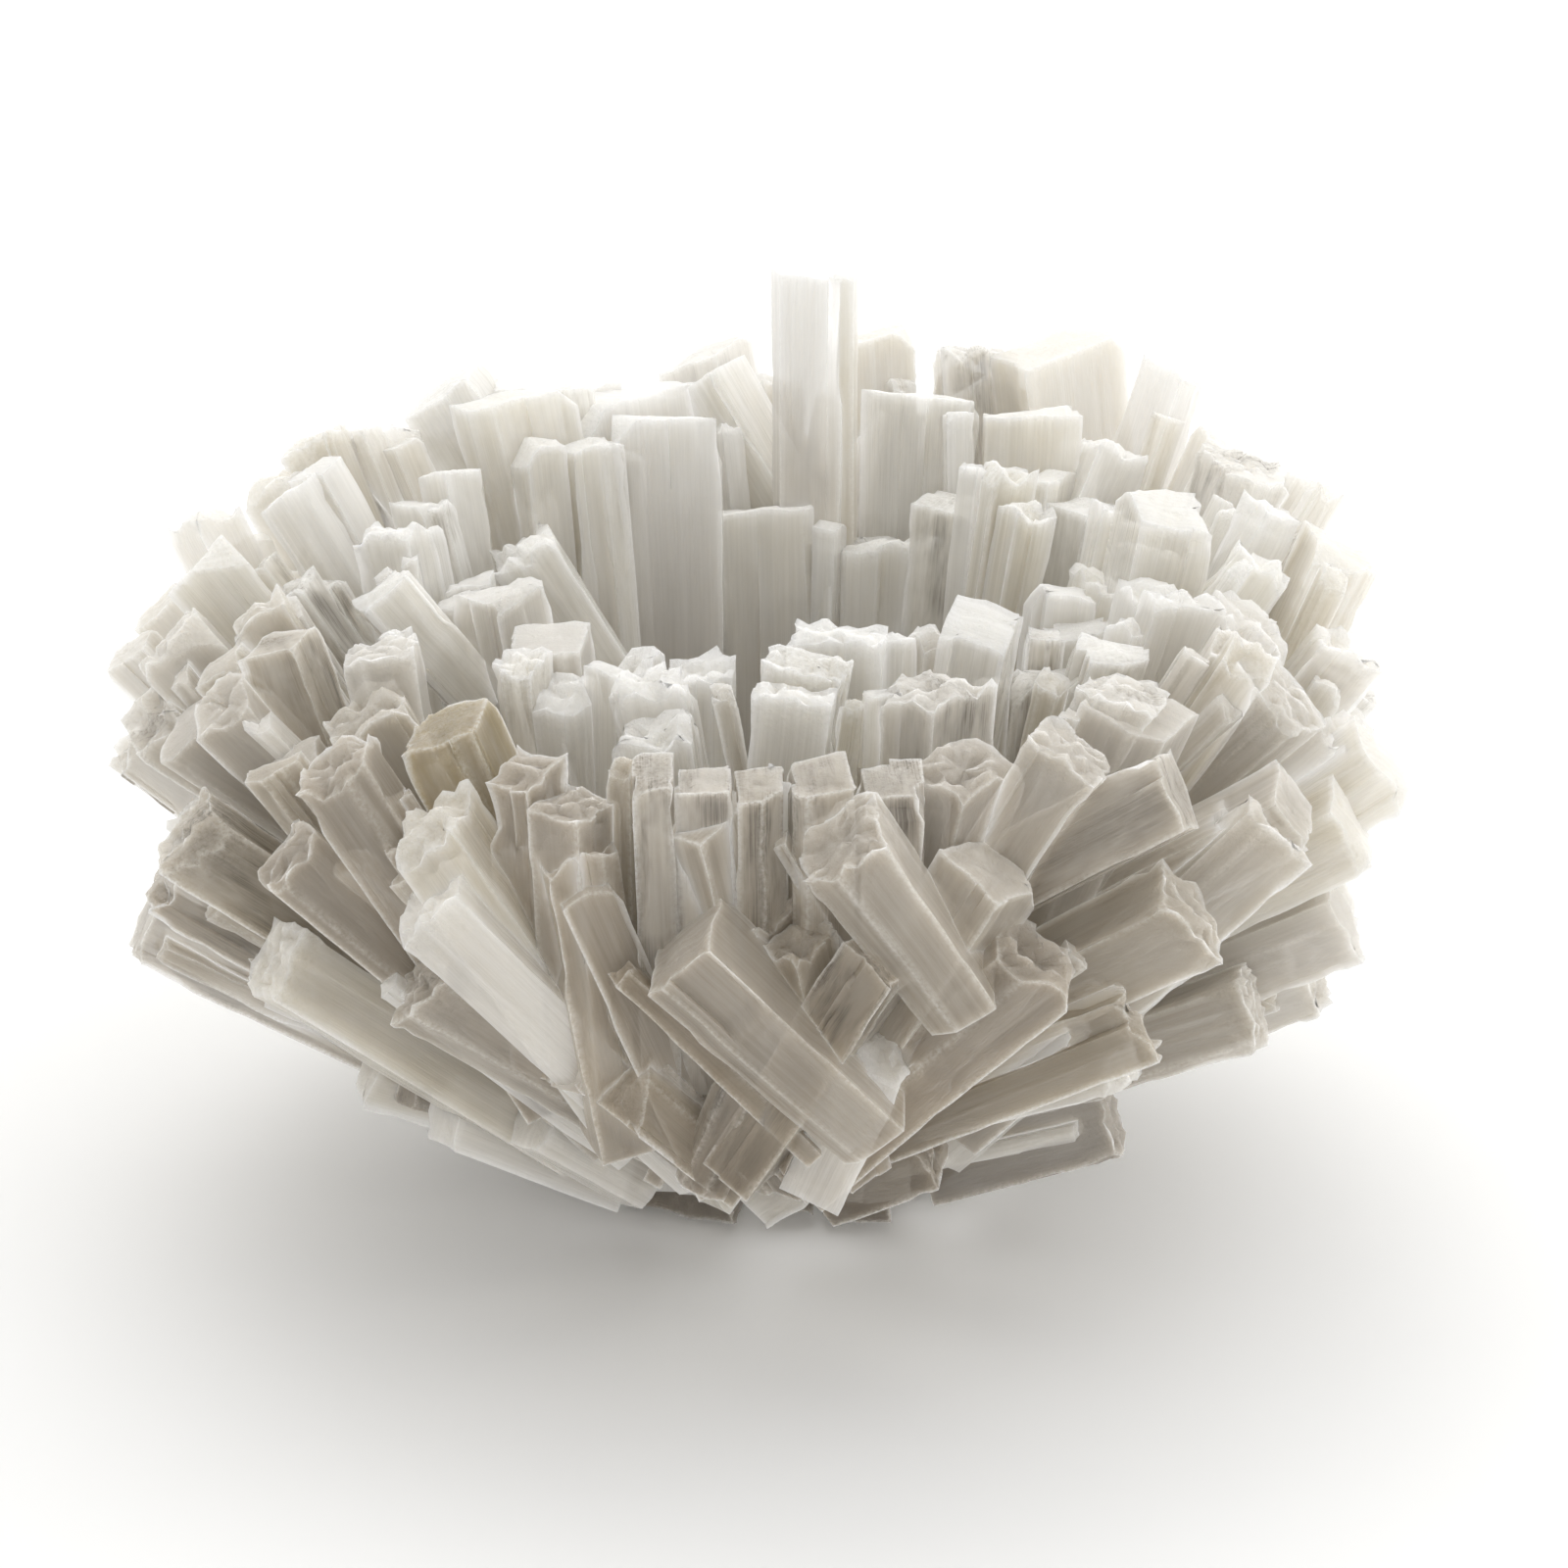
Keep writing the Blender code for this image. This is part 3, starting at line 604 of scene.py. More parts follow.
@dataclass
class MeshArrays:
    """Points, faces and what the finish reads, of one or more shapes, before they become a mesh."""

    points: list[np.ndarray] = field(default_factory=list)
    loops: list[np.ndarray] = field(default_factory=list)
    sizes: list[np.ndarray] = field(default_factory=list)
    uv: list[np.ndarray] = field(default_factory=list)
    values: dict[str, list[np.ndarray]] = field(default_factory=dict)
    count: int = 0

    def add(
        self,
        points: np.ndarray,
        loops: np.ndarray,
        sizes: np.ndarray,
        uv: np.ndarray,
        values: dict[str, np.ndarray],
    ) -> None:
        """Adds one shape.

        Args:
            points: Its points in metres, one a row.
            loops: The point number of each face corner.
            sizes: How many corners each face has.
            uv: Two numbers for each face corner.
            values: What the finish reads, one value a point.
        """
        self.points.append(points)
        self.loops.append(loops + self.count)
        self.sizes.append(sizes)
        self.uv.append(uv)
        for name, value in values.items():
            self.values.setdefault(name, []).append(value)
        self.count += len(points)

    def to_object(self, name: str) -> bpy.types.Object:
        """Makes one mesh object of all that was added, with hard edges where faces meet at an angle.

        Args:
            name: The object's name.

        Returns:
            The object, linked to the scene.
        """
        points = np.concatenate(self.points)
        loops = np.concatenate(self.loops)
        sizes = np.concatenate(self.sizes)
        mesh = bpy.data.meshes.new(name)
        mesh.vertices.add(len(points))
        mesh.loops.add(len(loops))
        mesh.polygons.add(len(sizes))
        mesh.vertices.foreach_set("co", points.astype(np.float32).ravel())
        mesh.loops.foreach_set("vertex_index", loops.astype(np.int32))
        mesh.polygons.foreach_set("loop_start", (np.cumsum(sizes) - sizes).astype(np.int32))
        layer = mesh.uv_layers.new(name="fibre")
        layer.data.foreach_set("uv", np.concatenate(self.uv).astype(np.float32).ravel())
        for key, parts in self.values.items():
            attribute = mesh.attributes.new(key, "FLOAT", "POINT")
            attribute.data.foreach_set("value", np.concatenate(parts).astype(np.float32))
        mesh.update(calc_edges=True)
        mesh.shade_smooth()
        mesh.set_sharp_from_angle(angle=math.radians(HARD_EDGE))
        piece = bpy.data.objects.new(name, mesh)
        bpy.context.scene.collection.objects.link(piece)
        return piece


@dataclass
class StickShape:
    """A stick's form: its place, its section, the breaks across its tip, and its surface."""

    stick: Stick
    name: str
    step: float = 3.2
    rows: int = 18
    fine: float = 1.0
    drop: float = 0.0

    def __post_init__(self) -> None:
        """Draws the section and the breaks, in the same order as the solids do."""
        stick = self.stick
        turn = math.radians(stick.bearing)
        run = math.radians(stick.bearing + stick.swing)
        slope = math.radians(stick.pitch)
        self.tip = np.array([math.sin(turn) * stick.reach, -math.cos(turn) * stick.reach, stick.height])
        self.axis = np.array(
            [math.sin(run) * math.cos(slope), -math.cos(run) * math.cos(slope), math.sin(slope)]
        )
        self.length = self._length()
        chance = random.Random(self.name)
        roll = math.radians(chance.uniform(-MOST_ROLL, MOST_ROLL)) if stick.ring != "foot" else 0.0
        level = np.cross(self.axis, [0, 0, 1])
        level /= np.linalg.norm(level)
        self.side = level * math.cos(roll) + np.cross(self.axis, level) * math.sin(roll)
        self.face = np.cross(self.side, self.axis)
        self.corners = self._corners(chance)
        self._draw_breaks(chance)
        self.seed = chance.randrange(1, 10**6)
        self._draw_strips(chance)

    def _length(self) -> float:
        """Measures back from the tip to the innermost ring, or to the own ring's bed.

        Returns:
            The stick's length, in millimetres.
        """
        stick = self.stick
        underside = UNDERSIDE_SLOPE * (-self.tip[1] - UNDERSIDE_START)
        length = (stick.height - max(FOOT_HEIGHTS[stick.ring], underside)) / self.axis[2]
        if stick.ring == "foot":
            return min(length, stick.reach + PAST_AXIS)
        nearest = FLOOR_REACH
        if stick.ring != "inner_rim":
            nearest = WALL_REACH
            length = min(length, stick.most)
        flat = self.axis[0] ** 2 + self.axis[1] ** 2
        inwards = (self.tip[0] * self.axis[0] + self.tip[1] * self.axis[1]) / flat
        rest = inwards**2 - (self.tip[0] ** 2 + self.tip[1] ** 2 - nearest**2) / flat
        if rest > 0 and inwards - math.sqrt(rest) > 0:
            length = min(length, inwards - math.sqrt(rest))
        return length

    def _corners(self, chance: random.Random) -> list[tuple[float, float]]:
        """The section's corners: a rough rectangle with up to two corners split off.

        Args:
            chance: Draws which corners, and all of their places.

        Returns:
            The corners in order, in millimetres.
        """
        split = chance.sample(range(4), chance.choice((0, 1, 2)))
        corners = []
        for i, (x, y) in enumerate(((1, 1), (-1, 1), (-1, -1), (1, -1))):
            x *= 0.5 * self.stick.width * (1 - chance.uniform(0, CORNER_STRAY))
            y *= 0.5 * self.stick.depth * (1 - chance.uniform(0, CORNER_STRAY))
            share = CHAMFER_SHARE * chance.uniform(*CHAMFER_SPREAD)
            if i not in split:
                corners.append((x, y))
            elif i % 2 == 0:
                corners += [(x, y * (1 - 2 * share)), (x * (1 - share), y)]
            else:
                corners += [(x * (1 - share), y), (x, y * (1 - 2 * share))]
        return corners

    def _draw_breaks(self, chance: random.Random) -> None:
        """Draws the slanting break across the tip, and the chip off one of its corners.

        Args:
            chance: Draws them.
        """
        width = self.stick.width
        depth = self.stick.depth
        self.slant_turn = chance.uniform(0, 2 * math.pi)
        self.lean = math.tan(math.radians(chance.uniform(*BREAK_LEANS)))
        turn = math.atan2(depth * chance.choice((-1, 1)), width * chance.choice((-1, 1)))
        self.chip_turn = turn + chance.uniform(-CHIP_TURN, CHIP_TURN)
        spread = width * abs(math.cos(self.chip_turn)) + depth * abs(math.sin(self.chip_turn))
        self.chip_steep = chance.uniform(*CHIP_STEEPNESS)
        self.chip_start = 0.5 * spread * chance.uniform(*CHIP_STARTS)

    def _draw_strips(self, chance: random.Random) -> None:
        """Splits the sides in strips along the fibres, and draws what came off each of them.

        Satin spar cleaves along its fibres, so a raw stick has long ledges, and splinters are missing
        from its tip.

        Args:
            chance: Draws them.
        """
        self.cuts = sorted(chance.uniform(0.01, 0.99) for _ in range(chance.randint(*STRIP_COUNTS)))
        self.strip_loss = []
        for _ in self.cuts:
            ledge = chance.choice(LEDGES) * chance.uniform(*LOSS_SPREAD)
            low = -self.length * chance.uniform(*LEDGE_ENDS)
            splinter = chance.choice(SPLINTERS) * chance.uniform(*LOSS_SPREAD)
            splinter_low = -chance.uniform(*SPLINTER_ENDS)
            self.strip_loss.append((ledge, low, splinter, splinter_low))

    def laths(self) -> list["StickShape"]:
        """The stick as the laths that it has split into along its fibres, one of them full length.

        Returns:
            The laths, or the stick alone where it is whole.
        """
        chance = random.Random(f"laths {self.name}")
        count = round(self.stick.width / USUAL_LATH)
        if self.stick.whole or count < 2 or chance.random() < UNSPLIT_SHARE:
            return [self]
        half = self.stick.width / 2
        strays = [chance.uniform(-LATH_STRAY, LATH_STRAY) for _ in range(count + 1)]
        walls = [2 * half * i / count - half + stray for i, stray in enumerate(strays)]
        walls[0], walls[-1] = -2 * half, 2 * half
        longest = chance.randrange(count)
        found = []
        for i in range(count):
            lath = copy.copy(self)
            part = band(self.corners, walls[i] - LATH_BOND / 2, walls[i + 1] + LATH_BOND / 2)
            thinner = chance.uniform(*LATH_DEPTHS)
            shift = chance.uniform(-1, 1) * (1 - thinner) * self.stick.depth / 2
            lath.corners = [(x, y * thinner + shift) for x, y in part]
            lath.drop = 0.0 if i == longest else chance.uniform(*LATH_DROPS)
            lath.slant_turn = chance.uniform(0, 2 * math.pi)
            lath.seed = chance.randrange(1, 10**6)
            lath.name = f"{self.name} lath {i}"
            lath._draw_strips(chance)
            found.append(lath)
        return found

    def end_level(self, x: np.ndarray, y: np.ndarray) -> np.ndarray:
        """How far the broken end lies from the tip's middle along the axis, zero or below.

        Args:
            x: Places across the section, in millimetres.
            y: Places across the section, in millimetres.

        Returns:
            The level at each place, in millimetres.
        """
        across = x * math.cos(self.slant_turn) + y * math.sin(self.slant_turn)
        slant = -self.lean * (BREAK_DROP * self.stick.width + across)
        towards = x * math.cos(self.chip_turn) + y * math.sin(self.chip_turn)
        chip = (self.chip_start - towards) / self.chip_steep
        level = np.minimum(np.minimum(slant, chip), 0)
        return level - self.drop - self._ragged(x, y)

    def _ragged(self, x: np.ndarray, y: np.ndarray) -> np.ndarray:
        """How much of the end is missing at each place, for the kind of break that it has.

        Args:
            x: Places across the section, in millimetres.
            y: Places across the section, in millimetres.

        Returns:
            The loss at each place, in millimetres.
        """
        kind = BREAKS[self.stick.tip]
        grain = lattice_noise(x / END_GRAIN, y / END_GRAIN, 0.0 * x, self.seed + 1)
        coarse = lattice_noise(x / kind.across, y / kind.deep, 0.0 * x, self.seed)
        lumps = 1 - abs(2 * coarse - 1)
        if kind.terraces:
            lumps = stepped(coarse, kind.terraces, kind.softness) ** kind.power
        return kind.missing * lumps + kind.grain * grain

    def add_to(self, arrays: MeshArrays) -> None:
        """Adds the stick's fine mesh to the piece's arrays.

        Args:
            arrays: The piece's arrays.
        """
        section = Section.from_corners(self.corners, self.step, self.cuts)
        columns = len(section.x)
        middle = np.array([np.mean(section.x), np.mean(section.y)])
        edge_x, edge_y = self._outline(section, self.end_level(section.x, section.y), 1.0, 1.0)
        top = self.end_level(edge_x, edge_y)
        along = 1 - np.linspace(1, 0, self.rows) ** ROW_CROWDING
        narrow = self._foot_width()
        x_rows, y_rows, s_rows = [], [], []
        for share in along:
            s = -self.length + share * (self.length + top)
            width = narrow + (1 - narrow) * share
            x, y = self._outline(section, s, width, FOOT_DEPTH + (1 - FOOT_DEPTH) * share)
            x_rows.append(x)
            y_rows.append(y)
            s_rows.append(s)
        edge_x, edge_y = x_rows[-1], y_rows[-1]
        for share in END_SHARES:
            x_rows.append(middle[0] + (edge_x - middle[0]) * share)
            y_rows.append(middle[1] + (edge_y - middle[1]) * share)
            s_rows.append(self.end_level(x_rows[-1], y_rows[-1]))
        x = np.array(x_rows)
        y = np.array(y_rows)
        s = np.array(s_rows)
        centre_level = self.end_level(middle[:1], middle[1:])
        points = self._placed(x.ravel(), y.ravel(), s.ravel())
        closing_x = np.array([middle[0] * narrow, middle[0]])
        closing_y = np.array([middle[1] * FOOT_DEPTH, middle[1]])
        ends = self._placed(closing_x, closing_y, np.array([-self.length, centre_level[0]]))
        broken = np.ones(x.shape)
        broken[: self.rows] = np.clip(1 - (top - s[: self.rows]) / BREAKS[self.stick.tip].reach, 0, 1)
        # Powdered edges, partly a painted highlight: full at the corners and round the rim of the end.
        edge = np.zeros(x.shape)
        edge[: self.rows] = section.corner
        edge[self.rows - 1 : self.rows + 1] = 1.0
        # Painted shade between the sticks: how far below the end each point lies, as a share.
        deep = np.clip((top - s) / PAINTED_SHADE_DEPTH, 0, 1)
        loops, sizes, uv = self._faces(columns, x, y, s, section.run)
        values = {"broken": broken, "edge": edge, "deep": deep, **self._stone(x, s - top)}
        arrays.add(
            np.concatenate([points, ends]) * MM,
            loops,
            sizes,
            uv,
            {key: np.append(value.ravel(), [value[0, 0], value[-1, 0]]) for key, value in values.items()},
        )

    def _outline(
        self, section: Section, s: np.ndarray, width: float, depth: float
    ) -> tuple[np.ndarray, np.ndarray]:
        """Places round the stick at one row, after wear.

        Args:
            section: The stick's section.
            s: Place along the stick at each point of the row, in millimetres from the tip.
            width: The row's width, as a share of that at the tip.
            depth: The row's depth, as a share of that at the tip.

        Returns:
            Places across the width and the depth.
        """
        x, y = section.x * width, section.y * depth
        middle = (float(np.mean(x)), float(np.mean(y)))
        least = LEAST_LEFT * np.hypot(x - middle[0], y - middle[1])
        loss = self._worn(section, s)
        return in_order(x - section.out_x * loss, y - section.out_y * loss, middle, least)

    def _foot_width(self) -> float:
        """Narrows the stick towards its foot, as the room between its neighbours does.

        Returns:
            The section's width at the foot, as a share of that at the tip.
        """
        foot = self.tip - self.axis * self.length
        share = math.hypot(foot[0], foot[1]) / math.hypot(self.tip[0], self.tip[1])
        return max(LEAST_FOOT_WIDTH, min(1.0, share))

    def _worn(self, section: Section, s: np.ndarray) -> np.ndarray:
        """How much of the sides is missing at one row: ridges, cleavage steps and chipped corners.

        Args:
            section: The stick's section.
            s: Place along the stick at each point of the row, in millimetres from the tip.

        Returns:
            The loss at each point, in millimetres.
        """
        loss = WEAR.of_sides(section, s, self.seed)
        ledge, low, splinter, splinter_low = np.array(self.strip_loss)[section.strip].T
        loss += ledge * np.clip((s - low) / WEAR.ledge_slope + 0.5, 0, 1)
        loss += splinter * np.clip((s - splinter_low) / WEAR.splinter_slope + 0.5, 0, 1)
        if self.stick.tip is CRUSTED:
            loss = WEAR.under_crust(section, s, self.seed, loss)
        return loss * self.fine

    def _placed(self, x: np.ndarray, y: np.ndarray, s: np.ndarray) -> np.ndarray:
        """Points of the stick's own frame in the bowl's, with a slight bend, none below the table.

        Args:
            x: Places across the width, in millimetres.
            y: Places across the depth, in millimetres.
            s: Places along the stick, in millimetres from its tip.

        Returns:
            The points, one a row, in millimetres.
        """
        none = np.zeros_like(s)
        bend_x, bend_y = (
            (lattice_noise(none, none, s / BEND_LENGTH, self.seed + i) - 0.5) * BEND for i in (6, 7)
        )
        placed = (
            self.tip
            + s[:, None] * self.axis
            + (x + bend_x)[:, None] * self.side
            + (y + bend_y)[:, None] * self.face
        )
        placed[:, 2] = np.maximum(placed[:, 2], 0.0)
        return placed

    def _faces(
        self, columns: int, x: np.ndarray, y: np.ndarray, s: np.ndarray, run: np.ndarray
    ) -> tuple[np.ndarray, np.ndarray, np.ndarray]:
        """Quads between the rows, and fans that close both ends.

        Args:
            columns: How many points go round the section.
            x: Place across, by row and column.
            y: Place across, by row and column.
            s: Place along, by row and column.
            run: Distance round the section at each column, with the whole way round at the end.

        Returns:
            Point numbers of face corners, corners in each face, and their pattern coordinates.
        """
        rows = len(x)
        i, j = np.meshgrid(np.arange(rows - 1), np.arange(columns), indexing="ij")
        k = (j + 1) % columns
        # Side, face and axis are a left-handed set, so corners are listed the other way round.
        here, above = i * columns, (i + 1) * columns
        quads = np.stack([above + j, above + k, here + k, here + j], -1)
        shift = np.array([self.seed % 97, self.seed % 89]) * 0.31
        side_u = np.stack([run[j], run[j + 1], run[j + 1], run[j]], -1)
        side_v = np.stack([s[i + 1, j], s[i + 1, k], s[i, k], s[i, j]], -1)
        end_u = np.stack([x[i + 1, j], x[i + 1, k], x[i, k], x[i, j]], -1)
        end_v = np.stack([y[i + 1, j], y[i + 1, k], y[i, k], y[i, j]], -1)
        is_end = (i >= self.rows - 1)[..., None]
        u = np.where(is_end, end_u, side_u)
        v = np.where(is_end, end_v, side_v)
        uv = np.stack([u, v], -1).reshape(-1, 2)
        first, last = rows * columns, rows * columns + 1
        j = np.arange(columns)
        k = (j + 1) % columns
        top_row = (rows - 1) * columns
        base = np.stack([np.full(columns, first), j, k], -1)
        crown = np.stack([np.full(columns, last), top_row + k, top_row + j], -1)
        base_uv = fan_uv(x[0], y[0], j, k)
        crown_uv = fan_uv(x[-1], y[-1], k, j)
        loops = np.concatenate([quads.ravel(), base.ravel(), crown.ravel()])
        sizes = np.concatenate([np.full(quads.size // 4, 4), np.full(2 * columns, 3)])
        uv = np.concatenate([uv, base_uv, crown_uv]) * MM + shift
        return loops, sizes, uv

    def _stone(self, x: np.ndarray, below: np.ndarray) -> dict[str, np.ndarray]:
        """What the finish reads of this stick: how light, stained, cream and clear its stone is.

        Args:
            x: Place across the width at each point.
            below: Place along the stick at each point, in millimetres from its end.

        Returns:
            Values by name, one for each point.
        """
        chance = random.Random(f"stone {self.name}")
        look = self.stick.look
        values = {
            "tone": chance.uniform(0.0, 1.0),
            "cream": 1.0 if look is CREAM else chance.choice(USUAL_CREAM),
            "clear": CLEAREST if look is CLEAR else chance.uniform(0.0, USUAL_MOST),
            # Silk makes the sides smoother, and also keeps the stick whiter under the painted shade, a
            # painted sheen.
            "silk": 1.0 if look is SILKY else chance.uniform(0.0, USUAL_MOST),
        }
        stained = 1.0 if look is STAINED else chance.choice(USUAL_STAIN)
        if look is MILKY:
            values["clear"] = 0.0
            stained = 0.0
        # Clay got in at the broken end, and thins out on its way down the fibres.
        width = self.stick.width
        aside = chance.uniform(-STREAK_ASIDE, STREAK_ASIDE) * width
        from_streak = (x - np.mean(x) - aside) / (STREAK_WIDTH * width)
        streak = np.exp(-(from_streak**2)) * np.clip(1 + below / chance.uniform(*STREAK_LENGTHS), 0, 1)
        found = {key: np.full(x.shape, value) for key, value in values.items()}
        found["stain"] = stained * (OFF_STREAK + (1 - OFF_STREAK) * streak)
        return found


def usual_stick(ring: Ring, bearing: float) -> Stick:
    """A stick of the ring's usual form, with the spread that raw sticks have, as in the solids.

    Args:
        ring: The ring.
        bearing: The stick's place round the bowl, before its spread.

    Returns:
        The stick.
    """
    spread = random.Random(f"{ring.name} {bearing:.1f}")
    front = math.cos(math.radians(bearing))
    bearing += spread.uniform(-BEARING_SPREAD, BEARING_SPREAD) * ring.spacing
    reach = ring.reach * (1 - ring.front_pull * max(0.0, front)) * spread.uniform(*REACH_SPREAD)
    height = ring.height * (1 + BACK_LIFT * max(0.0, -front)) * spread.uniform(*HEIGHT_SPREAD)
    start, end = FAN_BEARINGS
    outwards = min(1.0, max(0.0, (abs(bearing) - start) / (end - start)))
    forwards = FRONT_RUN + (1 - FRONT_RUN) * outwards
    sideways = math.sin(math.radians(bearing)) + spread.uniform(-FAN_SPREAD, FAN_SPREAD) * (1 - outwards)
    forwards *= math.cos(math.radians(bearing))
    steepness = math.tan(math.radians(ring.pitch)) / math.hypot(sideways, forwards)
    pitch = min(STEEPEST_PITCH, math.degrees(math.atan(steepness)))
    swing = math.degrees(math.atan2(sideways, forwards)) - bearing
    return Stick(
        ring.name,
        bearing,
        reach,
        height,
        pitch + spread.uniform(-PITCH_SPREAD, PITCH_SPREAD),
        swing + spread.uniform(-SWING_SPREAD, SWING_SPREAD),
        ring.width * spread.uniform(*WIDTH_SPREAD),
        ring.depth * spread.uniform(*DEPTH_SPREAD),
    )


def sticks_of(ring: Ring) -> list[Stick]:
    """The ring's sticks in order of bearing: its landmarks, and usual sticks in the gaps between.

    Args:
        ring: The ring.

    Returns:
        The sticks, in the order that the solids' random draws follow.
    """
    placed = sorted((Stick(ring.name, *row) for row in LANDMARKS[ring.name]), key=lambda s: s.bearing)
    found = []
    for here, following in zip(placed, placed[1:] + placed[:1]):
        gap = (following.bearing - here.bearing) % 360 or 360
        added = round(gap / ring.spacing) - 1
        found.append(here)
        for i in range(added):
            bearing = here.bearing + gap * (i + 1) / (added + 1)
            found.append(usual_stick(ring, (bearing + 180) % 360 - 180))
    return sorted(found, key=lambda s: s.bearing)


def with_looks(stick: Stick, name: str) -> Stick:
    """The stick with a kind of tip and a look drawn for it, where the picture gives it none.

    Args:
        stick: The stick.
        name: Its name, which fixes the draw.

    Returns:
        The stick with both set.
    """
    chance = random.Random(f"look {name}")
    tip = chance.choices(tuple(TipKind), TIP_CHANCES)[0]
    look = chance.choices(tuple(Look), LOOK_CHANCES)[0]
    return replace(stick, tip=stick.tip or tip, look=stick.look or look)


@dataclass(frozen=True)
class Splinters:
    """Thin splinters wedged in beside the sticks.

    Reach, height and distance aside are shares of the stick's own, turns are in degrees from it, and
    the splinter's own sizes and the step between its points are in millimetres.
    """

    share: float = 0.8
    reach: tuple[float, float] = (0.90, 0.985)
    aside: tuple[float, float] = (0.42, 0.62)
    height: tuple[float, float] = (0.93, 1.0)
    pitch: tuple[float, float] = (-3, 5)
    swing: tuple[float, float] = (-5, 5)
    width: tuple[float, float] = (8, 15)
    depth: tuple[float, float] = (6, 12)
    longest: float = 95
    step: float = 2.8
    rows: int = 14
    fine: float = 0.55

    def beside(self, shape: StickShape) -> StickShape | None:
        """The splinter beside a stick, a little lower than its tip.

        Args:
            shape: The stick.

        Returns:
            The splinter, or None where the stick has none.
        """
        stick = shape.stick
        chance = random.Random(f"splinter {shape.name}")
        if stick.ring == "foot" or chance.random() >= self.share:
            return None
        reach = stick.reach * chance.uniform(*self.reach)
        aside = chance.choice((-1, 1)) * stick.width * chance.uniform(*self.aside)
        splinter = Stick(
            stick.ring,
            stick.bearing + math.degrees(aside / reach),
            reach,
            stick.height * chance.uniform(*self.height),
            stick.pitch + chance.uniform(*self.pitch),
            stick.swing + chance.uniform(*self.swing),
            chance.uniform(*self.width),
            chance.uniform(*self.depth),
            chance.choice((SNAPPED, SPLINTERED)),
            chance.choice((MILKY, SILKY, CLEAR, STAINED)),
            most=min(stick.most, self.longest),
        )
        return StickShape(splinter, f"splinter {shape.name}", self.step, self.rows, self.fine)


def mesh_tree(obj: bpy.types.Object) -> BVHTree:
    """A search tree of a CAD node's faces, in the row frame.

    Args:
        obj: The node's object.

    Returns:
        The tree.
    """
    points = [obj.matrix_world @ vertex.co for vertex in obj.data.vertices]
    return BVHTree.FromPolygons(points, [tuple(face.vertices) for face in obj.data.polygons])


def is_inside(tree: BVHTree, point: Vector) -> bool:
    """Whether a point is inside a closed mesh, by how many of its faces a ray crosses.

    Args:
        tree: The mesh's search tree.
        point: The point, in metres.

    Returns:
        True where it is inside.
    """
    ray = Vector((0.214, 0.331, 0.919)).normalized()
    crossed = 0
    place = point.copy()
    while True:
        hit, _, _, _ = tree.ray_cast(place, ray)
        if hit is None:
            return crossed % 2 == 1
        crossed += 1
        place = hit + ray * 1e-6


def node_of(shape: StickShape, trees: dict[str, BVHTree], boxes: dict[str, tuple[Vector, Vector]]) -> str:
    """The CAD node that holds a stick's upper end.

    Args:
        shape: The stick.
        trees: Search tree of every node.
        boxes: Lowest and highest corner of every node.

    Returns:
        The node's name.
    """
    found = dict.fromkeys(trees, 0)
    places = [Vector((shape.tip - shape.axis * below) * MM) for below in PROBE_DEPTHS]
    for place in places:
        for name, tree in trees.items():
            low, high = boxes[name]
            if all(low[i] <= place[i] <= high[i] for i in range(3)) and is_inside(tree, place):
                found[name] += 1
    best = max(found, key=lambda name: found[name])
    if found[best]:
        return best
    return min(trees, key=lambda name: trees[name].find_nearest(places[2])[3])


def linear(colour: str) -> tuple[float, float, float, float]:
    """A colour written as sRGB hex, as the linear numbers that a shader takes.

    Args:
        colour: The colour, such as "#E4E1DA".

    Returns:
        Red, green, blue and full opacity.
    """
    parts = [int(colour[i : i + 2], 16) / 255 for i in (1, 3, 5)]
    red, green, blue = (p / 12.92 if p <= 0.04045 else ((p + 0.055) / 1.055) ** 2.4 for p in parts)
    return red, green, blue, 1.0


def add_node(
    tree: bpy.types.NodeTree,
    kind: str,
    inputs: Sequence[Any] | dict[str | int, Any] = (),
    output: str | int = 0,
    **settings: Any,
) -> bpy.types.NodeSocket:
    """Adds a shader node, with its settings, its values and its links.

    Args:
        tree: The material's node tree.
        kind: The node's type.
        inputs: What its inputs take, in order or by name: another node's output, or a value.
        output: Which of its outputs is wanted.
        **settings: The node's own settings.

    Returns:
        That output.
    """
    node = tree.nodes.new(kind)
    for name, value in settings.items():
        setattr(node, name, value)
    for name, value in inputs.items() if isinstance(inputs, dict) else enumerate(inputs):
        if isinstance(value, bpy.types.NodeSocket):
            tree.links.new(value, node.inputs[name])
        else:
            node.inputs[name].default_value = value
    return node.outputs[output]


RANGE = "ShaderNodeMapRange"
MATHS = "ShaderNodeMath"
VECTOR = "ShaderNodeVectorMath"
NOISE = "ShaderNodeTexNoise"
MIX = "ShaderNodeMix"
THROUGH = "ShaderNodeBsdfTransparent"

# What each point of a stick carries for the finish.
CARRIED = ("broken", "edge", "deep", "tone", "stain", "cream", "clear", "silk")


@dataclass(frozen=True)
class Streaks:
    """Noise drawn out along the fibres: one streak's width and length (mm), and its detail."""

    across: float
    along: float
    detail: float


# Real fibres are 0.01 to 0.1 mm thick, too fine to show, so the finest streaks here are bundles of them.
STREAKS = {
    "threads": Streaks(0.5, 30, 3.0),
    "lines": Streaks(0.7, 55, 3.0),
    "bands": Streaks(2.6, 110, 2.0),
    "specks": Streaks(2.4, 9.0, 4.0),
    "clouds": Streaks(9.0, 34, 3.0),
}
# The grains of a crushed end (mm).
GRAIN_SIZE = 1.3


@dataclass(frozen=True)
class Span:
    """How much a value counts: from low to high while it goes from start to end, and no further."""

    value: str
    start: float
    end: float
    low: float = 0.0
    high: float = 1.0


@dataclass(frozen=True)
class Layer:
    """A tint over what lies below, as strong as the product of the values and the spans named."""

    tint: str
    values: tuple[str, ...]
    spans: tuple[Span, ...]
    blend: str = "MIX"


